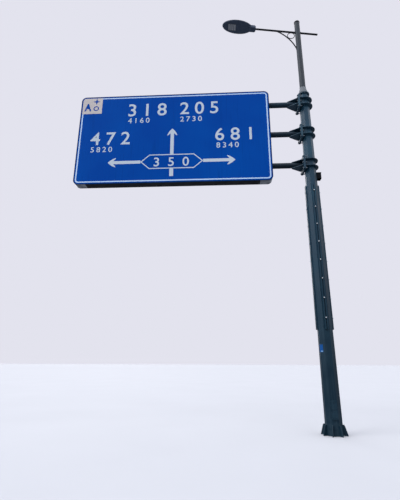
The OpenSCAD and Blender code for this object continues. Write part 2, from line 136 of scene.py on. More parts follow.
@dataclass(frozen=True)
class Finish:
    """One real surface: what it is made of and how it was made.

    Attributes:
        name: name of the material, in a maker's words.
        slot: slot of the record for a piece of this finish; not used.
    """

    name: str
    slot: str

    def build(self) -> bpy.types.Material:
        """Makes the material from an empty node tree.

        Returns:
            The finished material.
        """
        material = bpy.data.materials.new(self.name)
        material.use_nodes = True
        tree = material.node_tree
        tree.nodes.clear()
        shader = self.shade(tree)
        add_node(tree, "ShaderNodeOutputMaterial", {"Surface": shader.outputs["BSDF"]})
        return material

    def shade(self, tree: Tree) -> bpy.types.Node:
        """Builds the shader of this finish; every finish has its own."""
        raise NotImplementedError

    def place(self, tree: Tree, grain: Grain = Grain.EVEN) -> Socket:
        """Gives the position in the object's frame, in metres, stretched along the grain.

        Args:
            tree: node tree of the material.
            grain: direction along which a pattern is drawn out.

        Returns:
            The position's socket.
        """
        coords = add_node(tree, "ShaderNodeTexCoord")
        inputs = {"Vector": coords.outputs["Object"], "Scale": grain.value}
        return add_node(tree, "ShaderNodeMapping", inputs).outputs["Vector"]

    def clouds(
        self, tree: Tree, size_mm: float, detail: float = 4.0, grain: Grain = Grain.EVEN
    ) -> Socket:
        """Gives a cloudy noise with its cloud size in millimetres.

        Args:
            tree: node tree of the material.
            size_mm: real size of one cloud.
            detail: number of finer layers in the noise.
            grain: direction along which the clouds are drawn out.

        Returns:
            The noise's socket.
        """
        inputs = {"Vector": self.place(tree, grain), "Scale": 1 / (size_mm * MM), "Detail": detail}
        return add_node(tree, "ShaderNodeTexNoise", inputs).outputs["Fac"]

    def pattern(
        self,
        tree: Tree,
        size_mm: float,
        low: float,
        high: float,
        grain: Grain = Grain.EVEN,
        detail: float = 4.0,
    ) -> Socket:
        """Gives a cloudy pattern cut to a mask from zero to one.

        Args:
            tree: node tree of the material.
            size_mm: real size of one cloud in millimetres.
            low: noise value that becomes zero.
            high: noise value that becomes one.
            grain: direction along which the clouds are drawn out.
            detail: number of finer layers in the noise.

        Returns:
            The mask's socket.
        """
        noise = self.clouds(tree, size_mm, detail, grain)
        inputs = {"Value": noise, "From Min": low, "From Max": high}
        return add_node(tree, "ShaderNodeMapRange", inputs).outputs["Result"]

    def height_above(self, tree: Tree, low: float, high: float) -> Socket:
        """Gives one at the height low or below, falling to zero at the height high.

        Args:
            tree: node tree of the material.
            low: height that becomes one.
            high: height that becomes zero.

        Returns:
            The mask's socket.
        """
        split = add_node(tree, "ShaderNodeSeparateXYZ", {"Vector": self.place(tree)})
        inputs = {"Value": split.outputs["Z"], "From Min": low, "From Max": high}
        inputs |= {"To Min": 1.0, "To Max": 0.0}
        return add_node(tree, "ShaderNodeMapRange", inputs).outputs["Result"]

    def facing(self, tree: Tree, side: Side, low: float, high: float) -> Socket:
        """Gives one on faces that look to a side and zero on those that look away.

        Args:
            tree: node tree of the material.
            side: the side.
            low: part of the face's normal along the side's axis that becomes zero.
            high: part of it that becomes one.

        Returns:
            The mask's socket.
        """
        shape = add_node(tree, "ShaderNodeNewGeometry")
        split = add_node(tree, "ShaderNodeSeparateXYZ", {"Vector": shape.outputs["Normal"]})
        inputs = {"Value": split.outputs[side.value], "From Min": low, "From Max": high}
        return add_node(tree, "ShaderNodeMapRange", inputs).outputs["Result"]

    def layer(
        self, tree: Tree, mask: Socket, under: Tone, over: Tone, *shares: Socket | float
    ) -> Socket:
        """Lays one colour over another where a mask is high.

        Args:
            tree: node tree of the material.
            mask: where the upper colour lies.
            under: lower colour, in hex or as a socket.
            over: upper colour, in hex or as a socket.
            shares: numbers or further masks that thin the upper colour.

        Returns:
            The mixed colour's socket.
        """
        for share in shares:
            thinned = add_node(tree, "ShaderNodeMath", {0: mask, 1: share}, operation="MULTIPLY")
            mask = thinned.outputs["Value"]
        low, high = (linear(tone) if isinstance(tone, str) else tone for tone in (under, over))
        mix = add_node(
            tree, "ShaderNodeMix", {MIX_FACTOR: mask, MIX_A: low, MIX_B: high}, data_type="RGBA"
        )
        return mix.outputs[MIX_RESULT]

    def surface(
        self,
        tree: Tree,
        colour: Socket,
        wear: Socket,
        rough: tuple[float, float],
        sockets: Mapping[str, Socket | float],
        relief: tuple[Socket, float, float] | None = None,
    ) -> bpy.types.Node:
        """Ends a finish with its gloss and its fine relief.

        Args:
            tree: node tree of the material.
            colour: colour of the surface.
            wear: mask that dulls the gloss.
            rough: roughness where that mask is zero and where it is one.
            sockets: what the shader's other sockets hold.
            relief: height of the relief, its strength and its depth in metres.

        Returns:
            The shader.
        """
        inputs = {"Value": wear, "To Min": rough[0], "To Max": rough[1]}
        dulled = add_node(tree, "ShaderNodeMapRange", inputs)
        inputs = {"Base Color": colour, "Roughness": dulled.outputs["Result"], **sockets}
        if relief is not None:
            pressed = dict(zip(("Height", "Strength", "Distance"), relief))
            inputs["Normal"] = add_node(tree, "ShaderNodeBump", pressed).outputs["Normal"]
        return add_node(tree, "ShaderNodeBsdfPrincipled", inputs)


@dataclass(frozen=True)
class PowderCoat(Finish):
    """Polyester powder, sprayed on hot-dip galvanised steel and baked.

    It gives an even satin skin with a faint orange peel, chalked by the sun in pale clouds,
    with thin rain runs down the shaft and dust on whatever looks up or is near the foot.
    Painted shade darkens it towards the foot and, below the arms, on the side that looks to +X.

    Attributes:
        body_hex: colour of the fresh coat.
        chalk_hex: colour where the sun has chalked it.
        dust_hex: colour of settled dust.
        peel_mm: width of an orange-peel dimple. Real peel is 1 to 2 mm; it is drawn coarser to show.
        roughness: roughness of the clean coat.
        foot_dust: top of the splashed zone at the foot.
        gloss: strength of the coat's reflection.
        shade_hex: colour of the painted shade, laid towards the foot and on the side that
            looks to +X.
        shade_low: height below which the painted shade towards the foot is at its full share.
        shade_high: height above which there is no painted shade towards the foot.
        side_shade_share: share of painted shade on the side that looks to +X, below the arms.
        chalk_mm: width of a chalked cloud.
        run_mm: width of a rain run.
        spot_mm: width of a splashed spot.
    """

    body_hex: str = "#1b3f54"
    chalk_hex: str = "#254d61"
    dust_hex: str = "#3a4e59"
    peel_mm: float = 5.0
    roughness: float = 0.42
    foot_dust: float = 0.75
    gloss: float = 0.25
    shade_hex: str = "#001d2c"
    shade_low: float = 1.0
    shade_high: float = 6.4
    side_shade_share: float = 0.55
    chalk_mm: float = 420.0
    run_mm: float = 38.0
    spot_mm: float = 60.0

    def shade(self, tree: Tree) -> bpy.types.Node:
        """Mixes coat, chalk, painted shade, rain runs and dust, and adds the orange peel.

        Args:
            tree: node tree of the material.

        Returns:
            The shader.
        """
        chalk = self.pattern(tree, self.chalk_mm, 0.42, 0.66)
        coat = self.layer(tree, chalk, self.body_hex, self.chalk_hex)
        # Painted shade: the coat darkens towards the foot.
        low = self.height_above(tree, self.shade_low, self.shade_high)
        coat = self.layer(tree, low, coat, self.shade_hex, 0.85)
        # Painted shade on the side that looks to +X, below the arms.
        shaded_side = self.facing(tree, Side.SUNLESS, 0.30, 0.70)
        under_arms = self.height_above(tree, 5.2, 6.8)
        coat = self.layer(tree, shaded_side, coat, self.shade_hex, under_arms, self.side_shade_share)
        runs = self.pattern(tree, self.run_mm, 0.52, 0.72, Grain.ALONG_Z)
        coat = self.layer(tree, runs, coat, self.dust_hex, 0.30)
        splash = self.height_above(tree, 0.05, self.foot_dust)
        spots = self.pattern(tree, self.spot_mm, 0.30, 0.75)
        coat = self.layer(tree, splash, coat, self.dust_hex, spots, 0.42)
        top = self.facing(tree, Side.TOP, 0.25, 0.95)
        coat = self.layer(tree, top, coat, self.dust_hex, 0.30)
        peel = self.clouds(tree, self.peel_mm, 1.0)
        rough = (self.roughness, self.roughness + 0.16)
        gloss = {"IOR": 1.5, "Specular IOR Level": self.gloss}
        return self.surface(tree, coat, chalk, rough, gloss, (peel, 0.12, 0.0006))


@dataclass(frozen=True)
class GalvanisedSteel(Finish):
    """Steel dipped in molten zinc, as on structural bolts and pipe straps.

    It is a metal with small crystals of slightly different brightness, dulled by grey oxide.

    Attributes:
        zinc_hex: colour of the clean zinc.
        oxide_hex: colour of the dull patches.
        spangle_mm: width of one crystal.
        metallic: how much bare zinc shows through the oxide.
        oxide_mm: width of a dull patch.
    """

    zinc_hex: str = "#d6dade"
    oxide_hex: str = "#a9b0b5"
    spangle_mm: float = 7.0
    metallic: float = 0.9
    oxide_mm: float = 26.0

    def shade(self, tree: Tree) -> bpy.types.Node:
        """Mixes crystals and oxide and breaks up the gloss with them.

        Args:
            tree: node tree of the material.

        Returns:
            The shader.
        """
        inputs = {"Vector": self.place(tree), "Scale": 1 / (self.spangle_mm * MM)}
        crystals = add_node(tree, "ShaderNodeTexVoronoi", inputs)
        grey = add_node(tree, "ShaderNodeSeparateColor", {"Color": crystals.outputs["Color"]})
        zinc = self.layer(tree, grey.outputs["Red"], self.zinc_hex, self.oxide_hex, 0.5)
        oxide = self.pattern(tree, self.oxide_mm, 0.45, 0.62)
        zinc = self.layer(tree, oxide, zinc, self.oxide_hex, 0.6)
        return self.surface(tree, zinc, oxide, (0.34, 0.58), {"Metallic": self.metallic})


@dataclass(frozen=True)
class ExtrudedAluminium(Finish):
    """Aluminium pressed through a die, left mill finished or made near black.

    It shows fine die lines along its length and soft weather stains across them.

    Attributes:
        metal_hex: colour of the metal.
        stain_hex: colour of the weather stains.
        grain: direction of the die lines.
        metallic: how much bare metal shows.
        roughness: roughness between the stains.
        line_mm: distance between die lines. Real ones are under 1 mm apart; 4 mm is the finest
            that still shows close up.
        stain_mm: width of a weather stain.
    """

    metal_hex: str = "#b4b8bc"
    stain_hex: str = "#7f858b"
    grain: Grain = Grain.ALONG_X
    metallic: float = 0.85
    roughness: float = 0.38
    line_mm: float = 4.0
    stain_mm: float = 160.0

    def shade(self, tree: Tree) -> bpy.types.Node:
        """Mixes metal and stains and presses the die lines into the surface.

        Args:
            tree: node tree of the material.

        Returns:
            The shader.
        """
        stains = self.pattern(tree, self.stain_mm, 0.40, 0.68)
        metal = self.layer(tree, stains, self.metal_hex, self.stain_hex, 0.7)
        lines = self.pattern(tree, self.line_mm, 0.30, 0.70, self.grain, 2.0)
        rough = (self.roughness, self.roughness + 0.2)
        sockets = {"Metallic": self.metallic}
        return self.surface(tree, metal, stains, rough, sockets, (lines, 0.10, 0.0004))


@dataclass(frozen=True)
class ReflectiveSheeting(Finish):
    """Acrylic film with sealed cells of reflecting beads, rolled on to sheet aluminium.

    It gives a clear even colour, a soft sheen, a faint lattice of seal lines and thin dirt
    runs. What looks to +Y is the bare back of the sheet, a dull stained metal.

    Attributes:
        film_hex: colour of the film.
        faded_hex: colour where the sun has bleached it.
        dirt_hex: colour of the runs.
        cell_mm: width of one cell. Real cells are 3 to 4 mm; they are drawn coarser to show.
        seal_hex: colour of the seal lines round the cells.
        seal_share: how much of that colour shows.
        back_hex: colour of the bare rolled sheet behind the film.
        back_stain_hex: colour of the stains on it.
        fade_mm: width of a bleached cloud.
        run_mm: width of a dirt run.
        stain_mm: width of a stain on the back.
    """

    film_hex: str = "#0045a1"
    faded_hex: str = "#004da9"
    dirt_hex: str = "#002557"
    cell_mm: float = 9.0
    seal_hex: str = "#dfe5ee"
    seal_share: float = 0.004
    back_hex: str = "#8f959b"
    back_stain_hex: str = "#757b82"
    fade_mm: float = 1400.0
    run_mm: float = 30.0
    stain_mm: float = 220.0

    def shade(self, tree: Tree) -> bpy.types.Node:
        """Mixes film, fading, seal lattice and dirt runs, and the bare metal behind them.

        Args:
            tree: node tree of the material.

        Returns:
            The shader.
        """
        faded = self.pattern(tree, self.fade_mm, 0.38, 0.66, detail=2.0)
        film = self.layer(tree, faded, self.film_hex, self.faded_hex)
        inputs = {"Vector": self.place(tree), "Scale": 1 / (self.cell_mm * MM), "Randomness": 0.0}
        cells = add_node(tree, "ShaderNodeTexVoronoi", inputs, feature="DISTANCE_TO_EDGE")
        inputs = {"Value": cells.outputs["Distance"], "From Min": 0.02, "From Max": 0.10}
        inputs |= {"To Min": self.seal_share, "To Max": 0.0}
        seal = add_node(tree, "ShaderNodeMapRange", inputs)
        film = self.layer(tree, seal.outputs["Result"], film, self.seal_hex)
        runs = self.pattern(tree, self.run_mm, 0.56, 0.80, Grain.ALONG_Z)
        film = self.layer(tree, runs, film, self.dirt_hex, 0.22)
        stains = self.pattern(tree, self.stain_mm, 0.35, 0.70)
        bare = self.layer(tree, stains, self.back_hex, self.back_stain_hex)
        back = self.facing(tree, Side.BACK, 0.60, 0.90)
        metal = add_node(tree, "ShaderNodeMath", {0: back, 1: 0.8}, operation="MULTIPLY")
        sockets = {"Metallic": metal.outputs["Value"], "IOR": 1.49, "Specular IOR Level": 0.02}
        colour = self.layer(tree, back, film, bare)
        relief = (cells.outputs["Distance"], 0.05, 0.0003)
        return self.surface(tree, colour, faded, (0.40, 0.52), sockets, relief)


@dataclass(frozen=True)
class CastCase(Finish):
    """Die-cast aluminium with a fine sand-texture powder coat, as on lamp heads and boxes.

    It is nearly black, a little rough, with grey dust on top.

    Attributes:
        coat_hex: colour of the coat.
        worn_hex: colour of its dull clouds.
        grit_mm: size of the sand texture's grains, drawn coarser than the real 0.3 mm to show.
        gloss: strength of the coat's reflection.
        dust_hex: colour of the dust that settles on top.
        worn_mm: width of a dull cloud.
    """

    coat_hex: str = "#23262e"
    worn_hex: str = "#30343c"
    grit_mm: float = 2.5
    gloss: float = 0.12
    dust_hex: str = "#6a6d70"
    worn_mm: float = 90.0

    def shade(self, tree: Tree) -> bpy.types.Node:
        """Mixes coat, dull clouds and dust over a sand texture.

        Args:
            tree: node tree of the material.

        Returns:
            The shader.
        """
        clouds = self.pattern(tree, self.worn_mm, 0.40, 0.65)
        coat = self.layer(tree, clouds, self.coat_hex, self.worn_hex)
        top = self.facing(tree, Side.TOP, 0.25, 0.95)
        coat = self.layer(tree, top, coat, self.dust_hex, 0.35)
        relief = (self.clouds(tree, self.grit_mm, 2.0), 0.25, 0.0005)
        sockets = {"Specular IOR Level": self.gloss}
        return self.surface(tree, coat, clouds, (0.48, 0.62), sockets, relief)


@dataclass(frozen=True)
class Polycarbonate(Finish):
    """Moulded clear polycarbonate over a reflector, as on lamp optics.

    It is smooth and glossy, greyed by dust, with a pale reflector behind it.

    Attributes:
        behind_hex: colour that shows through.
        haze_hex: colour of the dust haze.
        roughness: roughness of the clean plastic.
        haze_mm: width of a hazed cloud.
    """

    behind_hex: str = "#8d9098"
    haze_hex: str = "#b4b6bc"
    roughness: float = 0.12
    haze_mm: float = 40.0

    def shade(self, tree: Tree) -> bpy.types.Node:
        """Mixes what shows through with haze under a glossy skin.

        Args:
            tree: node tree of the material.

        Returns:
            The shader.
        """
        haze = self.pattern(tree, self.haze_mm, 0.35, 0.75)
        seen = self.layer(tree, haze, self.behind_hex, self.haze_hex)
        rough = (self.roughness, self.roughness + 0.2)
        sockets = {"IOR": 1.58, "Coat Weight": 0.6, "Coat Roughness": 0.05}
        return self.surface(tree, seen, haze, rough, sockets)


@dataclass(frozen=True)
class StudioFloor(Finish):
    """Pale matt board under the object, with the faintest clouds.

    Attributes:
        tone_hex: colour of the board.
        cloud_hex: colour of its clouds.
        cloud_mm: width of a cloud.
    """

    tone_hex: str = "#b4b6bb"
    cloud_hex: str = "#b7b9be"
    cloud_mm: float = 2500.0

    def shade(self, tree: Tree) -> bpy.types.Node:
        """Gives a plain matt floor.

        Args:
            tree: node tree of the material.

        Returns:
            The shader.
        """
        clouds = self.pattern(tree, self.cloud_mm, 0.3, 0.7)
        tone = self.layer(tree, clouds, self.tone_hex, self.cloud_hex)
        return add_node(tree, "ShaderNodeBsdfPrincipled", {"Base Color": tone, "Roughness": 0.85})


@dataclass(frozen=True)
class Backdrop(Finish):
    """Pale curtain lit evenly from behind, so that it shows one soft tone from floor to top.

    Attributes:
        tone_hex: colour of the light that comes through.
    """

    tone_hex: str = "#e3e3ee"

    def shade(self, tree: Tree) -> bpy.types.Node:
        """Gives a matt sheet that glows in its own tone.

        Args:
            tree: node tree of the material.

        Returns:
            The shader.
        """
        inputs = {
            "Base Color": (0.0, 0.0, 0.0, 1.0),
            "Specular IOR Level": 0.0,
            "Roughness": 1.0,
            "Emission Color": linear(self.tone_hex),
            "Emission Strength": 1.0,
        }
        return add_node(tree, "ShaderNodeBsdfPrincipled", inputs)


# Satin blue-green coat of the pole; painted shade makes it darkest low down and on its +X side below
# the arms, and it is paler slate towards the arms.
POLE_COAT = PowderCoat("powder_coated_galvanised_steel", "pole_paint")
# The mast's coat has gone to a dull charcoal grey, streaked by rain.
MAST_COAT = PowderCoat(
    "sun_bleached_powder_coat",
    "mast_paint",
    body_hex="#30373f",
    chalk_hex="#3c444d",
    dust_hex="#52595f",
    roughness=0.5,
)
# Brackets and end plates are painted a paler slate blue as painted light on their undersides, and
# painted shade darkens the lowest one.
BRACKET_COAT = PowderCoat(
    "bracket_powder_coat_painted_light_and_shade",
    "pole_paint",
    body_hex="#2b485b",
    chalk_hex="#345465",
    dust_hex="#3f505b",
    shade_hex="#0a3144",
    shade_low=5.4,
    shade_high=7.2,
)
# Painted weld beads break up the light, so they look dull and a little darker than the flats.
WELD_COAT = PowderCoat(
    "powder_coated_weld_bead", "pole_paint", chalk_hex="#1f4458", roughness=0.68, gloss=0.04
)
# The arms are a deep blue-black as painted shade from the sign, darkest on the lowest arm.
ARM_COAT = PowderCoat(
    "powder_coated_arm_tube_painted_shade",
    "pole_paint",
    body_hex="#183141",
    chalk_hex="#1e3b4c",
    dust_hex="#253640",
    shade_hex="#071620",
    shade_low=5.2,
    shade_high=8.2,
)
# The doors were painted again, so they stand out from the shaft as a fresher blue; low on the shaft
# they carry painted shade, like the shaft.
COVER_COAT = PowderCoat(
    "repainted_cover_powder_coat",
    "pole_paint",
    body_hex="#23475a",
    chalk_hex="#2b5163",
    shade_hex="#0f2a39",
)
# Lamp arm, brace and ring are nearly black, with a weak sheen.
LAMP_ARM_COAT = PowderCoat(
    "dark_powder_coated_lamp_arm",
    "pole_paint",
    body_hex="#171b22",
    chalk_hex="#1e222a",
    dust_hex="#2b2f37",
    gloss=0.16,
)
# The cone has chalked to a light matt grey.
CONE_COAT = PowderCoat(
    "chalked_grey_powder_coat",
    "mast_paint",
    body_hex="#656b72",
    chalk_hex="#7b8187",
    dust_hex="#8a8f93",
    roughness=0.55,
)
# The mast's cap is a matt black casting.
CAP_COAT = CastCase(
    "cast_cap_dark_coat",
    "cap_dark",
    coat_hex="#0f0e14",
    worn_hex="#15141b",
    gloss=0.05,
    dust_hex="#2a2a31",
)
# The side box is black with hardly a reflection.
BOX_COAT = CastCase(
    "folded_steel_box_dark_coat", "box_dark", coat_hex="#0a0e13", worn_hex="#10151c", gloss=0.05
)
# The lamp's case is a mid blue-grey that looks dark only because its underside is in shade.
LAMP_CASE = CastCase("die_cast_lamp_case", "lamp_case", coat_hex="#475265", worn_hex="#535e71")
# Lens strips show their pale reflectors in rows.
LED_LENS = Polycarbonate(
    "moulded_polycarbonate_lens", "led_lens", behind_hex="#b2b6be", haze_hex="#c9ccd3"
)
# The lamp's glass is a smooth dark window with a sheen.
LED_GLASS = Polycarbonate(
    "toughened_lamp_glass", "led_lens", behind_hex="#4a4e57", haze_hex="#5a5e66", roughness=0.08
)
# The gasket is a thin matt black line.
GASKET = CastCase(
    "extruded_rubber_gasket", "lamp_case", coat_hex="#14161a", worn_hex="#1e2125", gloss=0.08
)
# Zinc bolts on the straps are light and softly metallic.
ZINC_BOLT = GalvanisedSteel("hot_dip_galvanised_bolt", "bolt_zinc")
# Nuts on the rails are zinc plated, and their near-white, blue-tinted colour is a painted highlight,
# so each one shows as a white tick.
BRIGHT_NUT = GalvanisedSteel(
    "zinc_plated_nut_painted_highlight", "bolt_zinc", zinc_hex="#e0eaf3", oxide_hex="#c3ced8", metallic=0.5
)
# Structural bolts have weathered to a mid grey.
DULL_BOLT = GalvanisedSteel(
    "weathered_galvanised_bolt", "bolt_zinc", zinc_hex="#68727b", oxide_hex="#515b64", metallic=0.35
)
# The washer under a bright nut is black as a painted shadow beneath the nut.
DARK_WASHER = GalvanisedSteel(
    "spring_washer_painted_shadow", "bolt_zinc", zinc_hex="#0c1014", oxide_hex="#07090c", metallic=0.0
)
# Straps show larger crystals than the bolts.
ZINC_STRAP = GalvanisedSteel("hot_dip_galvanised_strap", "strap_zinc", spangle_mm=12.0)
# The face is a strong even blue.
SIGN_BLUE = ReflectiveSheeting("blue_reflective_sheeting", "sign_blue")
# Numbers and arrows are a soft cool white.
SIGN_WHITE = ReflectiveSheeting(
    "white_reflective_sheeting",
    "sign_blue",
    film_hex="#c4d1de",
    faded_hex="#cdd7e1",
    dirt_hex="#8f95a3",
    seal_share=0.0,
)
# The line round the face is narrow and picks up the blue beside it.
SIGN_LINE = ReflectiveSheeting(
    "white_line_reflective_sheeting",
    "sign_blue",
    film_hex="#bfdbfb",
    faded_hex="#c9e1fc",
    dirt_hex="#93a3bf",
    seal_share=0.0,
)
# Lacquer over the film's cut edge draws a navy outline.
EDGE_SEAL = ReflectiveSheeting(
    "dark_edge_sealing_lacquer",
    "sign_blue",
    film_hex="#062a52",
    faded_hex="#0a2f58",
    dirt_hex="#051a33",
    seal_share=0.0,
)
# The tile in the corner is a warm pale grey.
TILE_GREY = ReflectiveSheeting(
    "warm_grey_reflective_sheeting",
    "sign_blue",
    film_hex="#cdc6c4",
    faded_hex="#d6cfca",
    dirt_hex="#8f8a88",
    seal_share=0.0,
)
# The number plate is a lighter blue, with smaller cells.
LABEL_BLUE = ReflectiveSheeting(
    "blue_number_plate_film", "sign_blue", film_hex="#1b4f90", faded_hex="#245b9c", cell_mm=4.0
)
# Its lower strip is pale blue.
LABEL_PALE = ReflectiveSheeting(
    "pale_number_plate_film",
    "sign_blue",
    film_hex="#6d97c2",
    faded_hex="#7fa5cb",
    dirt_hex="#4a6c92",
    cell_mm=4.0,
)
# Where two sheets meet the film shows a dark hairline.
FILM_JOINT = ReflectiveSheeting(
    "butt_joint_of_blue_film", "sign_blue", film_hex="#00296a", faded_hex="#012f72", seal_share=0.0
)
# The edge channels are near black and matt; their near black is partly painted shade under the sign.
FRAME_DARK = ExtrudedAluminium(
    "dark_aluminium_channel_partly_painted_shade",
    "frame_alu",
    metal_hex="#12161c",
    stain_hex="#0c1014",
    metallic=0.05,
    roughness=0.75,
)
# Corner pieces are bright mill metal with soft stains.
CORNER_MILL = ExtrudedAluminium("mill_finish_aluminium_corner", "corner_alu", grain=Grain.EVEN)
# Back rails are the same metal, with upright die lines.
BACK_RAIL = ExtrudedAluminium("extruded_aluminium_rail", "rail_alu", grain=Grain.ALONG_Z)


@functools.cache
def material_of(finish: Finish) -> bpy.types.Material:
    """Makes the material of a finish the first time it is asked for."""
    return finish.build()


def dress(finish: Finish, *nodes: str) -> None:
    """Gives CAD nodes a finish through their objects' material slots.

    Args:
        finish: the finish to put on.
        nodes: names of the nodes.
    """
    for name in nodes:
        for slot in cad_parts[name].material_slots:
            slot.material = material_of(finish)
        log.info("dressed %s in %s", name, finish.name)


def aim(point: Vector, axis: Vector, up: Vector = UP) -> Matrix:
    """Gives a placement whose local Z lies along an axis.

    Args:
        point: where the local origin goes.
        axis: direction of the local Z.
        up: direction that the local Y leans to where it can.

    Returns:
        The placement.
    """
    z = axis.normalized()
    y = up - z * up.dot(z)
    if y.length < 1e-6:
        y = Vector((0.0, 1.0, 0.0)) - z * z.y
    y.normalize()
    x = y.cross(z)
    rotation = Matrix((x, y, z)).transposed().to_4x4()
    return Matrix.Translation(point) @ rotation


def circle(radius: float, sides: int, z: float = 0.0) -> list[Vector]:
    """Gives the points of a level circle round the local Z.

    Args:
        radius: radius of the circle.
        sides: number of points.
        z: height of the circle.

    Returns:
        The points, anticlockwise.
    """
    turn = 2 * math.pi / sides
    return [
        Vector((radius * math.cos(i * turn), radius * math.sin(i * turn), z)) for i in range(sides)
    ]


def hexagon_ring(across: float, z: float, limit: float, steps: int = 4) -> list[Vector]:
    """Gives a level ring that follows a hexagon, cut back to a circle where it sticks out.

    Args:
        across: width across the flats.
        z: height of the ring.
        limit: largest radius that a point may have.
        steps: points on one side of the hexagon.

    Returns:
        The ring's points.
    """
    points = []
    for i in range(6 * steps):
        angle = 2 * math.pi * i / (6 * steps)
        off = (angle % (math.pi / 3)) - math.pi / 6
        radius = min(across / 2 / math.cos(off), limit)
        points.append(Vector((radius * math.cos(angle), radius * math.sin(angle), z)))
    return points


def rounded_rectangle(
    left: float, low: float, right: float, high: float, radius: float, steps: int = 8
) -> list[Point2]:
    """Gives a rectangle with round corners, anticlockwise.

    Args:
        left: left edge.
        low: lower edge.
        right: right edge.
        high: upper edge.
        radius: radius of the corners.
        steps: segments in one corner.

    Returns:
        The outline's points.
    """
    centres = (
        (right - radius, high - radius, 0.0),
        (left + radius, high - radius, 90.0),
        (left + radius, low + radius, 180.0),
        (right - radius, low + radius, 270.0),
    )
    points = []
    for x, y, start in centres:
        for i in range(steps + 1):
            angle = math.radians(start + 90 * i / steps)
            points.append((x + radius * math.cos(angle), y + radius * math.sin(angle)))
    return points


class Builder:
    """Collects the faces of one piece, then makes it an object that rides on the body."""

    def __init__(self, name: str) -> None:
        """Starts an empty mesh under the name of its piece."""
        self.name = name
        self.mesh = bmesh.new()

    def shell(
        self,
        rings: Sequence[Sequence[Vector]],
        place: Matrix = HERE,
        caps: bool = True,
        loop: bool = False,
    ) -> None:
        """Skins a row of rings that have the same number of points.

        Args:
            rings: the rings, each a closed row of local points.
            place: placement of the local frame.
            caps: close the first and the last ring with a face.
            loop: join the last ring to the first.
        """
        made = [[self.mesh.verts.new(place @ p) for p in ring] for ring in rings]
        pairs = list(zip(made, made[1:]))
        if loop:
            pairs.append((made[-1], made[0]))
        for low, high in pairs:
            for i in range(len(low)):
                j = (i + 1) % len(low)
                self.mesh.faces.new((low[i], low[j], high[j], high[i]))
        if caps and not loop:
            self.mesh.faces.new(list(reversed(made[0])))
            self.mesh.faces.new(made[-1])

    def lathe(self, profile: Sequence[Point2], place: Matrix, sides: int = 24) -> None:
        """Turns a profile of radius and height round the local Z, with both ends closed."""
        self.shell([circle(max(r, 1e-5), sides, z) for r, z in profile], place)

    def slab(
        self, outline: Sequence[Point2], place: Matrix, depth: float, edge: float = 0.0
    ) -> None:
        """Raises a flat outline along the local Z, with a small chamfer round its top.

        Args:
            outline: corner points, anticlockwise seen from the local +Z.
            place: placement of the local frame.
            depth: height of the slab.
            edge: width of the chamfer.
        """
        flat = [Vector((x, y, 0.0)) for x, y in outline]
        rings = [flat, [p + Vector((0, 0, depth - edge)) for p in flat]]
        if edge > 0:
            middle = sum(flat, Vector()) / len(flat)
            spread = max((p - middle).length for p in flat)
            shrink = 1 - edge / spread
            rings.append([middle + (p - middle) * shrink + Vector((0, 0, depth)) for p in flat])
        self.shell(rings, place)

    def bead(
        self,
        path: Sequence[Vector],
        radius: float,
        closed: bool = False,
        sides: int = 6,
        seed: int = 1,
        uneven: float = 0.16,
    ) -> None:
        """Sweeps a small uneven round along a path, as a weld bead or a bent rod.

        Args:
            path: points of the centre line.
            radius: mean radius.
            closed: join the end to the start.
            sides: points in one ring.
            seed: start of the uneven row.
            uneven: share by which the radius wanders.
        """
        dice = random.Random(seed)
        count = len(path)
        rings = []
        for i, point in enumerate(path):
            before = path[(i - 1) % count] if closed or i else point
            after = path[(i + 1) % count] if closed or i < count - 1 else point
            place = aim(point, after - before)
            size = radius * (1 + dice.uniform(-uneven, uneven))
            rings.append([place @ p for p in circle(size, sides)])
        self.shell(rings, caps=not closed, loop=closed)

    def done(self, finish: Finish, sharp_deg: float = 35.0) -> bpy.types.Object:
        """Makes the object, smooths it up to an angle and puts it on the body.

        Args:
            finish: finish of the whole piece.
            sharp_deg: edges sharper than this stay crisp.

        Returns:
            The object.
        """
        bmesh.ops.recalc_face_normals(self.mesh, faces=self.mesh.faces)
        data = bpy.data.meshes.new(self.name)
        self.mesh.to_mesh(data)
        self.mesh.free()
        data.polygons.foreach_set("use_smooth", [True] * len(data.polygons))
        data.set_sharp_from_angle(angle=math.radians(sharp_deg))
        data.materials.append(material_of(finish))
        piece = bpy.data.objects.new(self.name, data)
        bpy.context.scene.collection.objects.link(piece)
        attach(piece, BODY)
        log.info("built %s: %d faces", self.name, len(data.polygons))
        return piece


def line(start: Vector, end: Vector, step: float) -> list[Vector]:
    """Gives evenly spaced points from start to end, about a step apart."""
    count = max(2, round((end - start).length / step) + 1)
    return [start.lerp(end, i / (count - 1)) for i in range(count)]


def ring_path(corners: Sequence[Vector], step: float) -> list[Vector]:
    """Gives evenly spaced points round a closed outline, about a step apart.

    Args:
        corners: corners of the outline.
        step: distance between two points.

    Returns:
        The points, with no point twice.
    """
    points: list[Vector] = []
    for i, corner in enumerate(corners):
        points += line(corner, corners[(i + 1) % len(corners)], step)[:-1]
    return points


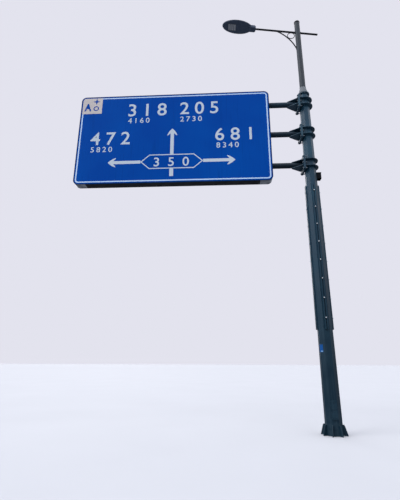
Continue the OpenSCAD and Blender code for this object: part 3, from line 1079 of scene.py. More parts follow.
@dataclass(frozen=True)
class Bolt:
    """A hexagon bolt with its washer, seen where it stands on a face.

    Attributes:
        across: width of the head across its flats.
        head: height of the head.
        washer: diameter of the washer.
        washer_thick: thickness of the washer.
        shank: diameter of the thread that stands out past a nut.
        tail: length of thread past the nut, or zero for a head.
        pitch: pitch of the thread. A real M24 thread has 3 mm; it is drawn at 4 mm to show.
    """

    across: float = 0.034
    head: float = 0.014
    washer: float = 0.044
    washer_thick: float = 0.004
    shank: float = 0.024
    tail: float = 0.0
    pitch: float = 0.004

    def build(
        self, builder: Builder, place: Matrix, turn: float = 0.0, washers: Builder | None = None
    ) -> None:
        """Adds washer, chamfered hexagon and threaded tail, along the local Z.

        Args:
            builder: the piece that gets the bolt.
            place: placement with its origin on the seat and Z pointing out.
            turn: angle of the hexagon in radians.
            washers: the piece that gets the washer, where its finish is another one.
        """
        place = place @ Matrix.Rotation(turn, 4, "Z")
        rim = self.washer / 2
        thick = self.washer_thick
        (washers or builder).lathe(
            ((rim - 0.0008, 0.0), (rim, 0.0008), (rim, thick - 0.0008), (rim - 0.0008, thick)), place
        )
        crown = self.across * 0.475
        corner = self.across
        top = thick + self.head
        bevel = self.head * 0.16
        cut = self.across / 2 * 1.09
        rings = [
            hexagon_ring(self.across, thick, corner),
            hexagon_ring(self.across, top - bevel, cut),
            hexagon_ring(self.across, top, crown),
        ]
        builder.shell(rings, place)
        if self.tail > 0:
            builder.lathe(self._thread(top - 0.001), place, 16)

    def _thread(self, start: float) -> list[Point2]:
        """Gives the profile of the thread that stands out past the nut.

        Args:
            start: height where the thread leaves the nut.

        Returns:
            Radius and height of each point.
        """
        crest, root = self.shank / 2, self.shank / 2 - 0.0014
        profile: list[Point2] = []
        turns = int(self.tail / self.pitch)
        for i in range(turns):
            z = start + i * self.pitch
            profile += [(root, z), (crest, z + self.pitch * 0.5)]
        end = start + turns * self.pitch
        return profile + [(root, end), (root - 0.003, end + 0.002)]


@dataclass(frozen=True)
class Shaft:
    """The tapered octagonal shaft, with its flats square to X and Y.

    Attributes:
        foot: height of its lower end.
        top: height of its upper end.
        width_foot: width across flats at the lower end.
        width_top: width across flats at the upper end.
    """

    foot: float = 0.025
    top: float = 7.875
    width_foot: float = 0.312
    width_top: float = 0.219

    def width(self, z: float) -> float:
        """Gives the width across flats at a height."""
        share = (z - self.foot) / (self.top - self.foot)
        return self.width_foot + (self.width_top - self.width_foot) * share

    def lean(self) -> float:
        """Gives the angle by which a flat leans towards the axis."""
        return math.atan((self.width_foot - self.width_top) / 2 / (self.top - self.foot))

    def on_flat(self, turn_deg: float, z: float) -> Matrix:
        """Gives the frame of a flat: X along it, Y into the shaft, Z up along it.

        Args:
            turn_deg: turn of the flat from the one that looks to -Y.
            z: height of the frame's origin.

        Returns:
            The placement.
        """
        turn = Matrix.Rotation(math.radians(turn_deg), 4, "Z")
        out = Matrix.Translation((0, -self.width(z) / 2, z))
        return turn @ out @ Matrix.Rotation(-self.lean(), 4, "X")

    def outline(self, z: float, grow: float = 0.0) -> list[Vector]:
        """Gives the eight corners of the shaft at a height, grown outwards.

        Args:
            z: the height.
            grow: distance by which every flat is moved out.

        Returns:
            The corners, anticlockwise.
        """
        radius = (self.width(z) / 2 + grow) / math.cos(HALF_SIDE)
        return [
            Vector((radius * math.cos(a), radius * math.sin(a), z))
            for a in (HALF_SIDE + i * math.pi / 4 for i in range(8))
        ]


SHAFT = Shaft()


class Assembly:
    """A sub-assembly of the gantry, or the studio round it."""

    def build(self) -> None:
        """Dresses its CAD nodes and builds its own pieces."""
        raise NotImplementedError


@dataclass
class PoleFoot(Assembly):
    """Base flange, gussets and the welds that join them to the shaft.

    Attributes:
        flange_top: top of the base flange.
        gusset_top: top of a gusset.
        gusset_reach: reach of a gusset at its foot.
        gusset_thick: thickness of a gusset.
        weld: radius of a weld bead.
        sunk: part of that radius by which a bead stands off the corner it fills.
        step: distance between two points of a bead.
    """

    flange_top: float = 0.025
    gusset_top: float = 0.221
    gusset_reach: float = 0.254
    gusset_thick: float = 0.012
    weld: float = 0.005
    sunk: float = 0.3
    step: float = 0.012

    def build(self) -> None:
        """Dresses the CAD nodes and lays the welds."""
        dress(POLE_COAT, "base_flange", "base_gussets")
        self._welds()

    def _welds(self) -> None:
        """Lays beads up both sides of each gusset, along its foot and round the shaft."""
        builder = Builder("foot_welds")
        side = self.gusset_thick / 2 + self.weld * self.sunk
        drop = side * math.tan(HALF_SIDE)
        low_r = SHAFT.width(self.flange_top) / 2 / math.cos(HALF_SIDE) - drop
        high_r = SHAFT.width(self.gusset_top) / 2 / math.cos(HALF_SIDE) - drop
        floor = self.flange_top + 0.002
        for k in range(8):
            turn = Matrix.Rotation(HALF_SIDE + k * math.pi / 4, 4, "Z")
            for s in (-1, 1):
                low = turn @ Vector((low_r, s * side, self.flange_top + 0.006))
                high = turn @ Vector((high_r, s * side, self.gusset_top - 0.004))
                builder.bead(line(low, high, self.step), self.weld, seed=10 * k + s)
                near = turn @ Vector((low_r, s * side, floor))
                out = turn @ Vector((self.gusset_reach - 0.008, s * side, floor))
                builder.bead(line(near, out, self.step), self.weld, seed=20 * k + s)
        collar = SHAFT.outline(self.flange_top, self.weld * self.sunk)
        builder.bead(ring_path(collar, self.step), self.weld * 1.2, closed=True, seed=7)
        builder.done(WELD_COAT)


@dataclass
class PoleBody(Assembly):
    """Shaft, access cover and the small number plate.

    Attributes:
        cover_low: lower edge of the access cover along the flat.
        plate_low: lower edge of the number plate.
        plate_high: upper edge of the number plate.
        plate_wide: width of the plate on the left front flat, out from the corner.
        plate_wrap: width of the plate round that corner.
        cover_out: how far the doors stand out from the flat.
        screw_x: distance of a door's screws from its middle.
        screw_rows: heights of the screws above the cover's lower edge.
        lock_up: height of the lock's ring above that edge.
        lock_ring: radius and height of the corners of the ring's section.
        seam_low: start of the long seam above the shaft's foot.
        seam_high: end of the seam below the shaft's top.
        film: thickness of the plate.
    """

    cover_low: float = 0.315
    plate_low: float = 1.570
    plate_high: float = 1.722
    plate_wide: float = 0.064
    plate_wrap: float = 0.030
    cover_out: float = 0.011
    screw_x: float = 0.044
    screw_rows: tuple[float, ...] = (0.020, 0.146, 0.196, 0.326)
    lock_up: float = 0.310
    lock_ring: tuple[Point2, ...] = ((0.019, 0.0), (0.018, 0.002), (0.015, 0.002), (0.015, 0.0))
    seam_low: float = 0.25
    seam_high: float = 0.05
    film: float = 0.0012

    def build(self) -> None:
        """Dresses the CAD nodes and adds screws, the long seam and the number plate."""
        dress(POLE_COAT, "pole_shaft")
        dress(COVER_COAT, "access_cover")
        self._cover_screws()
        self._seam()
        self._plate()

    def _cover_screws(self) -> None:
        """Sets painted screws in both doors and a ring round the lock slot of the upper one."""
        builder = Builder("cover_screws")
        screw = Bolt(across=0.010, head=0.003, washer=0.014, washer_thick=0.001)
        flat = SHAFT.on_flat(0, self.cover_low)
        for x in (-self.screw_x, self.screw_x):
            for z in self.screw_rows:
                seat = flat @ Matrix.Translation((x, -self.cover_out, z)) @ OUT_OF_FACE
                screw.build(builder, seat, x * 40)
        lock = flat @ Matrix.Translation((0, -self.cover_out, self.lock_up)) @ OUT_OF_FACE
        builder.shell([circle(r, 32, z) for r, z in self.lock_ring], lock, loop=True)
        builder.done(POLE_COAT)

    def _seam(self) -> None:
        """Lays the long weld seam of the folded shaft down a back corner."""
        builder = Builder("shaft_seam")
        back_corner = 1
        ends = (SHAFT.foot + self.seam_low, SHAFT.top - self.seam_high)
        low, high = (SHAFT.outline(z, 0.0005)[back_corner] for z in ends)
        builder.bead(line(low, high, 0.03), 0.003, seed=3)
        builder.done(WELD_COAT)

    def _plate(self) -> None:
        """Sticks the small blue plate, with its pale lower strip, round the left front corner."""
        middle = (self.plate_low + self.plate_high) / 2
        corner = SHAFT.width(middle) / 2 * math.tan(HALF_SIDE)
        tall = (self.plate_high - self.plate_low) / 2
        plate = Builder("number_plate")
        right = -corner + self.plate_wide
        front = SHAFT.on_flat(-45, middle) @ OUT_OF_FACE
        side = SHAFT.on_flat(-90, middle) @ OUT_OF_FACE
        for low, high, place in ((-corner, right, front), (corner - self.plate_wrap, corner, side)):
            outline = ((low, -tall), (high, -tall), (high, tall), (low, tall))
            plate.slab(outline, place, self.film, self.film / 4)
        plate.done(LABEL_BLUE)
        strip = Builder("number_plate_strip")
        inner = rounded_rectangle(-corner + 0.014, -tall + 0.005, right - 0.005, -tall + 0.031, 0.004)
        strip.slab(inner, front @ Matrix.Translation((0, 0, self.film)), 0.0006, 0.0002)
        strip.done(LABEL_PALE)


@dataclass
class SlotRails(Assembly):
    """Four slot rails with a row of bolts in each.

    Attributes:
        low: lower end of the rails.
        deep: how far a rail stands out.
        first: first bolt above the lower end.
        pitch: distance between two bolts.
        count: bolts in a rail.
        long: length of a rail.
        wide: width of a rail.
    """

    low: float = 2.025
    deep: float = 0.033
    first: float = 0.235
    pitch: float = 0.415
    count: int = 8
    long: float = 3.305
    wide: float = 0.070

    def build(self) -> None:
        """Dresses the rails and sets finer bolts in place of the plain ones."""
        dress(POLE_COAT, "slot_rail_front", "slot_rail_right", "slot_rail_back", "slot_rail_left")
        # The washers are black as painted shadow beneath the bright nuts.
        builder, washers = Builder("rail_bolts_detailed"), Builder("rail_bolt_washers_painted_shadow")
        bolt = Bolt(across=0.022, head=0.012, washer=0.046, shank=0.012, tail=0.012, pitch=0.003)
        for turn in (0, 90, 180, 270):
            flat = SHAFT.on_flat(turn, self.low)
            for i in range(self.count):
                spot = Matrix.Translation((0, -self.deep, self.first + i * self.pitch))
                seat = flat @ spot @ OUT_OF_FACE
                bolt.build(builder, seat, 0.4 * i + turn, washers)
        washers.done(DARK_WASHER)
        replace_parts(builder.done(BRIGHT_NUT), "rail_bolts")
        self._stitch_welds()

    def _stitch_welds(self) -> None:
        """Lays short beads down both edges of every rail, where it is welded to its flat."""
        builder = Builder("rail_stitch_welds")
        gap, bead, count = 0.030, 0.060, 12
        step = (self.long - 2 * gap - bead) / (count - 1)
        for turn in (0, 90, 180, 270):
            flat = SHAFT.on_flat(turn, self.low)
            for side in (-1, 1):
                for i in range(count):
                    start = Vector((side * (self.wide / 2 + 0.001), -0.001, gap + i * step))
                    path = [flat @ p for p in line(start, start + Vector((0, 0, bead)), 0.010)]
                    builder.bead(path, 0.004, seed=i + turn + side)
        builder.done(WELD_COAT)


@dataclass
class SideBox(Assembly):
    """The small dark box above the right-hand rail.

    Attributes:
        low: lower edge of the box.
        high: underside of the lid.
        out: outer face of the box, from the pole axis.
        half: half of its width.
        screw_in: distance of a screw from the side of the box.
        screw_up: distance of a screw from its lower or upper edge.
    """

    low: float = 5.500
    high: float = 5.651
    out: float = 0.2266
    half: float = 0.060
    screw_in: float = 0.012
    screw_up: float = 0.014

    def build(self) -> None:
        """Dresses the box and its lid and sets four screws."""
        dress(BOX_COAT, "side_box", "side_box_lid")
        builder = Builder("side_box_screws")
        screw = Bolt(across=0.010, head=0.004, washer=0.015, washer_thick=0.001)
        for y in (-self.half + self.screw_in, self.half - self.screw_in):
            for z in (self.low + self.screw_up, self.high - self.screw_up):
                seat = aim(Vector((self.out, y, z)), Vector((1, 0, 0)))
                screw.build(builder, seat, y * 30)
        builder.done(BOX_COAT)


class ArmPlace(Enum):
    """The three arms, with the height of each on the pole axis."""

    UPPER = 7.615
    MIDDLE = 6.755
    LOWER = 5.890

    @property
    def word(self) -> str:
        """Gives the word that the arm's nodes end in."""
        return self.name.lower()


@dataclass
class ArmJoint(Assembly):
    """One arm with the bracket that carries it and the bolts and welds between them.

    Attributes:
        arm: which arm it is.
        joint_x: where the end plates meet.
        plate: thickness of an end plate.
        plate_wide: width and height of an end plate.
        bolt_inset: distance of a bolt from the plate's edge.
        bolt_pitch: distance between two bolts.
        tube: radius of the arm.
        wing_gap: height of a wing plate's middle from the arm axis.
        wing_end: reach of the wing plates.
        ring_gap: height of a ring plate's middle from the arm axis.
        wing_side: distance of a weld on the tube from the arm's middle plane.
        plate_side: distance of a weld from the middle of the plate that it joins.
        weld: radius of a bead.
        step: distance between two points of a bead.
    """

    arm: ArmPlace
    joint_x: float = 0.160
    plate: float = 0.022
    plate_wide: float = 0.364
    bolt_inset: float = 0.028
    bolt_pitch: float = 0.152
    tube: float = 0.0665
    wing_gap: float = 0.0725
    wing_end: float = 0.430
    ring_gap: float = 0.088
    wing_side: float = 0.020
    plate_side: float = 0.008
    weld: float = 0.005
    step: float = 0.014

    def build(self) -> None:
        """Dresses the CAD nodes of this arm and lays its welds."""
        word = self.arm.word
        dress(BRACKET_COAT, f"pole_bracket_{word}", f"arm_end_plate_{word}")
        dress(ARM_COAT, f"arm_{word}")
        self._welds()

    def _welds(self) -> None:
        """Lays beads round the tube, along the wings and round the shaft at both rings."""
        z = self.arm.value
        seat = -self.joint_x - self.plate
        builder = Builder(f"arm_welds_{self.arm.word}")
        tube_ring = aim(Vector((seat - 0.002, 0, z)), Vector((-1, 0, 0)))
        loop = [tube_ring @ p for p in circle(self.tube + 0.002, 56)]
        builder.bead(loop, 0.006, closed=True, seed=4)
        half = self.plate_wide / 2 - 0.012
        for s in (-1, 1):
            for t in (-1, 1):
                level = z + s * (self.wing_gap - 0.005) - s * 0.004
                low = Vector((-self.wing_end + 0.01, t * self.wing_side, level))
                high = Vector((seat, t * self.wing_side, level))
                builder.bead(line(low, high, self.step), self.weld, seed=5 + s + t)
                foot = z + s * self.wing_gap + t * self.plate_side
                near, far = (Vector((seat - 0.001, y, foot)) for y in (-half, half))
                builder.bead(line(near, far, self.step), self.weld, seed=9 + s + t)
                ring = SHAFT.outline(z + s * self.ring_gap + t * self.plate_side, 0.0015)
                path = ring_path(ring, self.step)
                builder.bead(path, self.weld, closed=True, seed=13 + s + t)
        builder.done(WELD_COAT)


@dataclass
class Arms(Assembly):
    """The three arms, their bolts and their end caps.

    Attributes:
        joints: one joint for each arm.
        head: bolt head on the arm side.
        nut: nut and thread on the pole side.
    """

    joints: list[ArmJoint] = field(default_factory=lambda: [ArmJoint(arm) for arm in ArmPlace])
    head: Bolt = Bolt(across=0.034, head=0.014)
    nut: Bolt = Bolt(across=0.034, head=0.020, tail=0.022)

    def build(self) -> None:
        """Builds every joint, then all bolts as one piece."""
        for joint in self.joints:
            joint.build()
        dress(ARM_COAT, "arm_end_caps")
        builder = Builder("bracket_bolts_detailed")
        for joint in self.joints:
            self._bolts(builder, joint)
        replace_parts(builder.done(DULL_BOLT), "bracket_bolts")

    def _bolts(self, builder: Builder, joint: ArmJoint) -> None:
        """Adds the six bolts of one joint.

        Args:
            builder: the piece that gets them.
            joint: the joint that they hold.
        """
        for s in (-1, 1):
            for k in (-1, 0, 1):
                y = s * (joint.plate_wide / 2 - joint.bolt_inset)
                z = joint.arm.value + k * joint.bolt_pitch
                near = Vector((-joint.joint_x - joint.plate, y, z))
                far = Vector((-joint.joint_x + joint.plate, y, z))
                self.head.build(builder, aim(near, Vector((-1, 0, 0))), 0.3 * k + s)
                self.nut.build(builder, aim(far, Vector((1, 0, 0))), 0.5 * k - s)


@dataclass
class LampMast(Assembly):
    """Top joint of the pole, reducer cone, round mast and cap.

    Attributes:
        joint_low: underside of the lower flange.
        joint_high: top of the upper flange.
        circle_r: radius of the bolt circle.
        cone_top: upper end of the cone.
        mast_top: upper end of the mast, under the cap.
        mast_r: radius of the mast there.
        skirt: height of the cap's skirt below that end.
        cone_foot_r: radius of the weld at the cone's foot.
        cone_top_r: radius of the weld at its upper end.
    """

    joint_low: float = 7.875
    joint_high: float = 7.905
    circle_r: float = 0.134
    cone_top: float = 8.121
    mast_top: float = 10.275
    mast_r: float = 0.069
    skirt: float = 0.034
    cone_foot_r: float = 0.1205
    cone_top_r: float = 0.0740

    def build(self) -> None:
        """Dresses the CAD nodes and adds bolts, the cap's skirt and welds."""
        dress(BRACKET_COAT, "pole_top_flange")
        dress(CONE_COAT, "reducer_cone")
        dress(MAST_COAT, "reducer_flange", "lamp_mast")
        dress(CAP_COAT, "mast_cap")
        self._bolts()
        self._cap_skirt()
        self._welds()

    def _bolts(self) -> None:
        """Sets eight bolts through both flanges, heads up and nuts down."""
        builder = Builder("top_flange_bolts_detailed")
        head = Bolt(across=0.018, head=0.008, washer=0.023, washer_thick=0.002)
        nut = Bolt(across=0.018, head=0.010, washer=0.023, washer_thick=0.002, shank=0.012)
        for k in range(8):
            angle = k * math.pi / 4
            x, y = self.circle_r * math.cos(angle), self.circle_r * math.sin(angle)
            head.build(builder, aim(Vector((x, y, self.joint_high)), UP), angle)
            nut.build(builder, aim(Vector((x, y, self.joint_low)), -UP), angle)
        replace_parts(builder.done(DULL_BOLT), "top_flange_bolts")

    def _cap_skirt(self) -> None:
        """Hangs the cap's skirt round the mast's end and sets its four grub screws."""
        builder = Builder("mast_cap_skirt")
        low, high = -self.skirt, 0.0004
        inner, outer = self.mast_r + 0.0004, self.mast_r + 0.0032
        profile = (
            (inner, low), (outer - 0.001, low), (outer, low + 0.001), (outer, high), (inner, high)
        )
        rings = [circle(r, 64, z) for r, z in profile]
        builder.shell(rings, Matrix.Translation((0, 0, self.mast_top)), loop=True)
        screw = Bolt(across=0.007, head=0.0015, washer=0.0085, washer_thick=0.0005)
        for side in range(4):
            angle = math.radians(50 + 90 * side)
            out = Vector((math.cos(angle), math.sin(angle), 0))
            spot = out * (outer - 0.0005) + Vector((0, 0, self.mast_top - self.skirt / 2))
            screw.build(builder, aim(spot, out), angle)
        builder.done(CAP_COAT)

    def _welds(self) -> None:
        """Lays beads at both ends of the cone and round the top of the shaft."""
        welds = Builder("mast_welds")
        rings = ((self.cone_foot_r, self.joint_high + 0.002), (self.cone_top_r, self.cone_top))
        for radius, z in rings:
            welds.bead(circle(radius, 64, z), 0.004, closed=True, seed=5)
        welds.done(MAST_COAT)
        collar = Builder("shaft_top_weld")
        ring = SHAFT.outline(self.joint_low - 0.003, 0.001)
        collar.bead(ring_path(ring, 0.014), 0.005, closed=True, seed=6)
        collar.done(WELD_COAT)


@dataclass
class LampArm(Assembly):
    """Lamp arm, its stub behind the mast, its brace and the ornamental ring.

    Attributes:
        height: height of the arm's axis on the pole axis.
        rise_deg: rise of the arm.
        tube: radius of the arm.
        collar: radius of the weld collar at the mast.
        collar_end: far edge of the collar, from the pole axis.
        mast: radius of the mast behind the collars.
        rod: radius of the brace rod.
        bend: radius of the brace's bend.
        bend_x: middle of that bend.
        bend_z: height of that middle.
        ring_x: middle of the ornamental ring.
        ring_z: height of that middle.
        ring: radius of the ring's centre line.
    """

    height: float = 9.920
    rise_deg: float = 10.0
    tube: float = 0.024
    collar: float = 0.030
    collar_end: float = 0.082
    mast: float = 0.0705
    rod: float = 0.015
    bend: float = 1.183
    bend_x: float = -1.184
    bend_z: float = 9.007
    ring_x: float = -0.184
    ring_z: float = 9.833
    ring: float = 0.094

    def build(self) -> None:
        """Dresses the CAD nodes and lays the welds between them."""
        dress(LAMP_ARM_COAT, "lamp_arm", "lamp_stub", "lamp_arm_brace", "lamp_arm_scroll")
        builder = Builder("lamp_arm_welds")
        self._collars(builder)
        self._brace_ends(builder)
        self._ring_seats(builder)
        builder.done(LAMP_ARM_COAT)

    def along(self) -> Matrix:
        """Gives the frame of the arm: -X runs out along its rise."""
        rise = Matrix.Rotation(math.radians(self.rise_deg), 4, "Y")
        return Matrix.Translation((0, 0, self.height)) @ rise

    def _collars(self, builder: Builder) -> None:
        """Lays a bead round both collars, at the mast and at the tube.

        Args:
            builder: the piece that gets the beads.
        """
        for side in (-1, 1):
            saddle = []
            for p in circle(self.collar + 0.001, 40):
                reach = math.sqrt(self.mast**2 - p.x**2) + 0.001
                saddle.append(self.along() @ Vector((side * reach, p.x, p.y)))
            builder.bead(saddle, 0.004, closed=True, seed=21 + side)
            rim = [
                self.along() @ Vector((side * self.collar_end, p.x, p.y))
                for p in circle(self.tube + 0.002, 36)
            ]
            builder.bead(rim, 0.003, closed=True, seed=25 + side)

    def _brace_ends(self, builder: Builder) -> None:
        """Lays the long oval beads where the rod runs into mast and arm at a low angle.

        Args:
            builder: the piece that gets the beads.
        """
        low = math.acos((-self.mast - self.bend_x) / self.bend)
        foot = Vector((0, 0, self.bend_z + self.bend * math.sin(low)))
        stretch = (self.rod + 0.001) / math.sin(low)
        oval = []
        for p in circle(1.0, 40):
            y = (self.rod + 0.001) * p.y
            oval.append(foot + Vector((-math.sqrt(self.mast**2 - y * y) - 0.001, y, stretch * p.x)))
        builder.bead(oval, 0.0035, closed=True, seed=31)
        into_arm = self.along().inverted()
        high = low
        while abs((into_arm @ self._on_brace(high)).z) > self.tube and high < 1.3:
            high += 0.002
        seat = into_arm @ self._on_brace(high)
        lean = math.radians(90 + self.rise_deg) - high
        stretch = (self.rod + 0.001) / math.sin(max(lean, 0.2))
        oval = []
        for p in circle(1.0, 40):
            y = (self.rod + 0.001) * p.y
            under = -math.sqrt(self.tube**2 - y * y) - 0.001
            oval.append(self.along() @ Vector((seat.x + stretch * p.x, y, under)))
        builder.bead(oval, 0.0035, closed=True, seed=33)

    def _on_brace(self, angle: float) -> Vector:
        """Gives the point of the brace's centre line at an angle of its bend."""
        out, rise = self.bend * math.cos(angle), self.bend * math.sin(angle)
        return Vector((self.bend_x + out, 0, self.bend_z + rise))

    def _ring_seats(self, builder: Builder) -> None:
        """Lays short beads on both sides where the ring touches the arm and the brace.

        Args:
            builder: the piece that gets the beads.
        """
        middle = Vector((self.ring_x, 0, self.ring_z))
        out = Vector((self.ring_x - self.bend_x, 0, self.ring_z - self.bend_z)).normalized()
        off, reach, step = 0.0085, 0.022, 0.006
        touch = middle - out * self.ring
        along = Vector((-out.z, 0, out.x))
        arm = self.along()
        seat = arm.inverted() @ middle
        half = math.sqrt(max(self.ring**2 - (-self.tube - seat.z) ** 2, 0.0))
        for side in (-1, 1):
            across = Vector((0, side * off, 0))
            path = line(touch - along * reach + across, touch + along * reach + across, step)
            builder.bead(path, 0.003, seed=41 + side)
            for end in (-1, 1):
                spot = Vector((seat.x + end * half, side * off, -self.tube + 0.001))
                run = Vector((0.014, 0, 0))
                path = [arm @ p for p in line(spot - run, spot + run, step)]
                builder.bead(path, 0.003, seed=43 + side + end)


@dataclass
class LampHead(Assembly):
    """The lamp head: case, cover, socket and the panel of lenses under it.

    Attributes:
        middle: middle of the head, along the arm from the pole axis.
        half_long: half length of the oval.
        half_wide: half width of the oval.
        parting: height of the joint between case and cover above the arm's axis.
        glass: underside of the glass.
        glass_thick: thickness of the glass.
        glass_in: distance of its edge from the side of the head.
        glass_far: far edge of the glass, from the middle.
        glass_long: length of the glass.
        bars: lens bars across the head.
        bar_first: far edge of the first bar, from the middle.
        bar_pitch: distance between two bars.
        bar_wide: width of a bar.
        bar_half: half length of a bar.
        lens_wide: width of the moulded lens strip on a bar.
        lens_pitch: distance between two lenses of a row.
        lens_row: distance of a row of lenses from the middle of its bar.
        dome: radius and height of the points of a lens's profile.
        arm: the arm that carries the head.
    """

    middle: float = 1.652
    half_long: float = 0.412
    half_wide: float = 0.220
    parting: float = 0.0195
    glass: float = -0.009
    glass_thick: float = 0.005
    glass_in: float = 0.1125
    glass_far: float = 0.2505
    glass_long: float = 0.220
    bars: int = 4
    bar_first: float = 0.244
    bar_pitch: float = 0.0535
    bar_wide: float = 0.046
    bar_half: float = 0.100
    lens_wide: float = 0.030
    lens_pitch: float = 0.0235
    lens_row: float = 0.0075
    dome: tuple[Point2, ...] = ((0.0068, 0.0), (0.0063, 0.0018), (0.0044, 0.0032), (0.0018, 0.0038))
    arm: LampArm = field(default_factory=LampArm)

    def build(self) -> None:
        """Dresses the case and adds its gasket, screws and lenses."""
        dress(LAMP_CASE, "lamp_body", "lamp_cover", "lamp_socket")
        self._gasket()
        self._screws()
        self._panel()

    def _gasket(self) -> None:
        """Lays the rubber line that shows between case and cover."""
        place = self.arm.along()
        long, wide = self.half_long - 0.001, self.half_wide - 0.001
        path = [
            place @ Vector((-self.middle + long * p.x, wide * p.y, self.parting))
            for p in circle(1.0, 120)
        ]
        builder = Builder("lamp_gasket")
        builder.bead(path, 0.0025, closed=True, uneven=0.0)
        builder.done(GASKET)

    def _screws(self) -> None:
        """Sets the cap screws that hold case and cover together, under the rim."""
        builder = Builder("lamp_screws")
        screw = Bolt(across=0.008, head=0.004, washer=0.013, washer_thick=0.001)
        inset, under = 0.060, -0.010
        down = Matrix.Rotation(math.pi, 4, "X")
        for turn_deg in (40, 90, 140, 180, 220, 270, 320):
            turn = math.radians(turn_deg)
            x = -self.middle + (self.half_long - inset) * math.cos(turn)
            y = (self.half_wide - inset) * math.sin(turn)
            seat = self.arm.along() @ Matrix.Translation((x, y, under)) @ down
            screw.build(builder, seat, turn)
        builder.done(DULL_BOLT)

    def _panel(self) -> None:
        """Builds the glass, the carrier bars and on each a strip of small lenses."""
        glass = Builder("lamp_glass")
        edge = self.half_wide - self.glass_in
        left = -self.middle - self.glass_far
        under = self.arm.along() @ Matrix.Translation((0, 0, self.glass + self.glass_thick))
        down = under @ Matrix.Rotation(math.pi, 4, "X")
        outline = rounded_rectangle(left, -edge, left + self.glass_long, edge, 0.012)
        glass.slab(outline, down, self.glass_thick, 0.001)
        glass.done(LED_GLASS)
        on_glass, on_bar, on_strip = 0.0048, 0.0076, 0.0088
        bars, lenses = Builder("lamp_lens_bars"), Builder("lamp_lenses")
        half, inset = self.bar_half, (self.bar_wide - self.lens_wide) / 2
        for i in range(self.bars):
            far = -self.middle - self.bar_first + i * self.bar_pitch
            outline = rounded_rectangle(far, -half, far + self.bar_wide, half, 0.010)
            bars.slab(outline, down @ Matrix.Translation((0, 0, on_glass)), 0.0030, 0.001)
            strip, end = far + inset, half - inset
            outline = rounded_rectangle(strip, -half + inset, strip + self.lens_wide, end, 0.008)
            lenses.slab(outline, down @ Matrix.Translation((0, 0, on_bar)), 0.0014, 0.0004)
            for row in (-1, 1):
                for k in range(8):
                    x = far + self.bar_wide / 2 + row * self.lens_row
                    y = (k - 3.5) * self.lens_pitch
                    lenses.lathe(self.dome, down @ Matrix.Translation((x, y, on_strip)), 12)
        lenses.done(LED_LENS)
        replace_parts(bars.done(LED_GLASS), "led_panel")


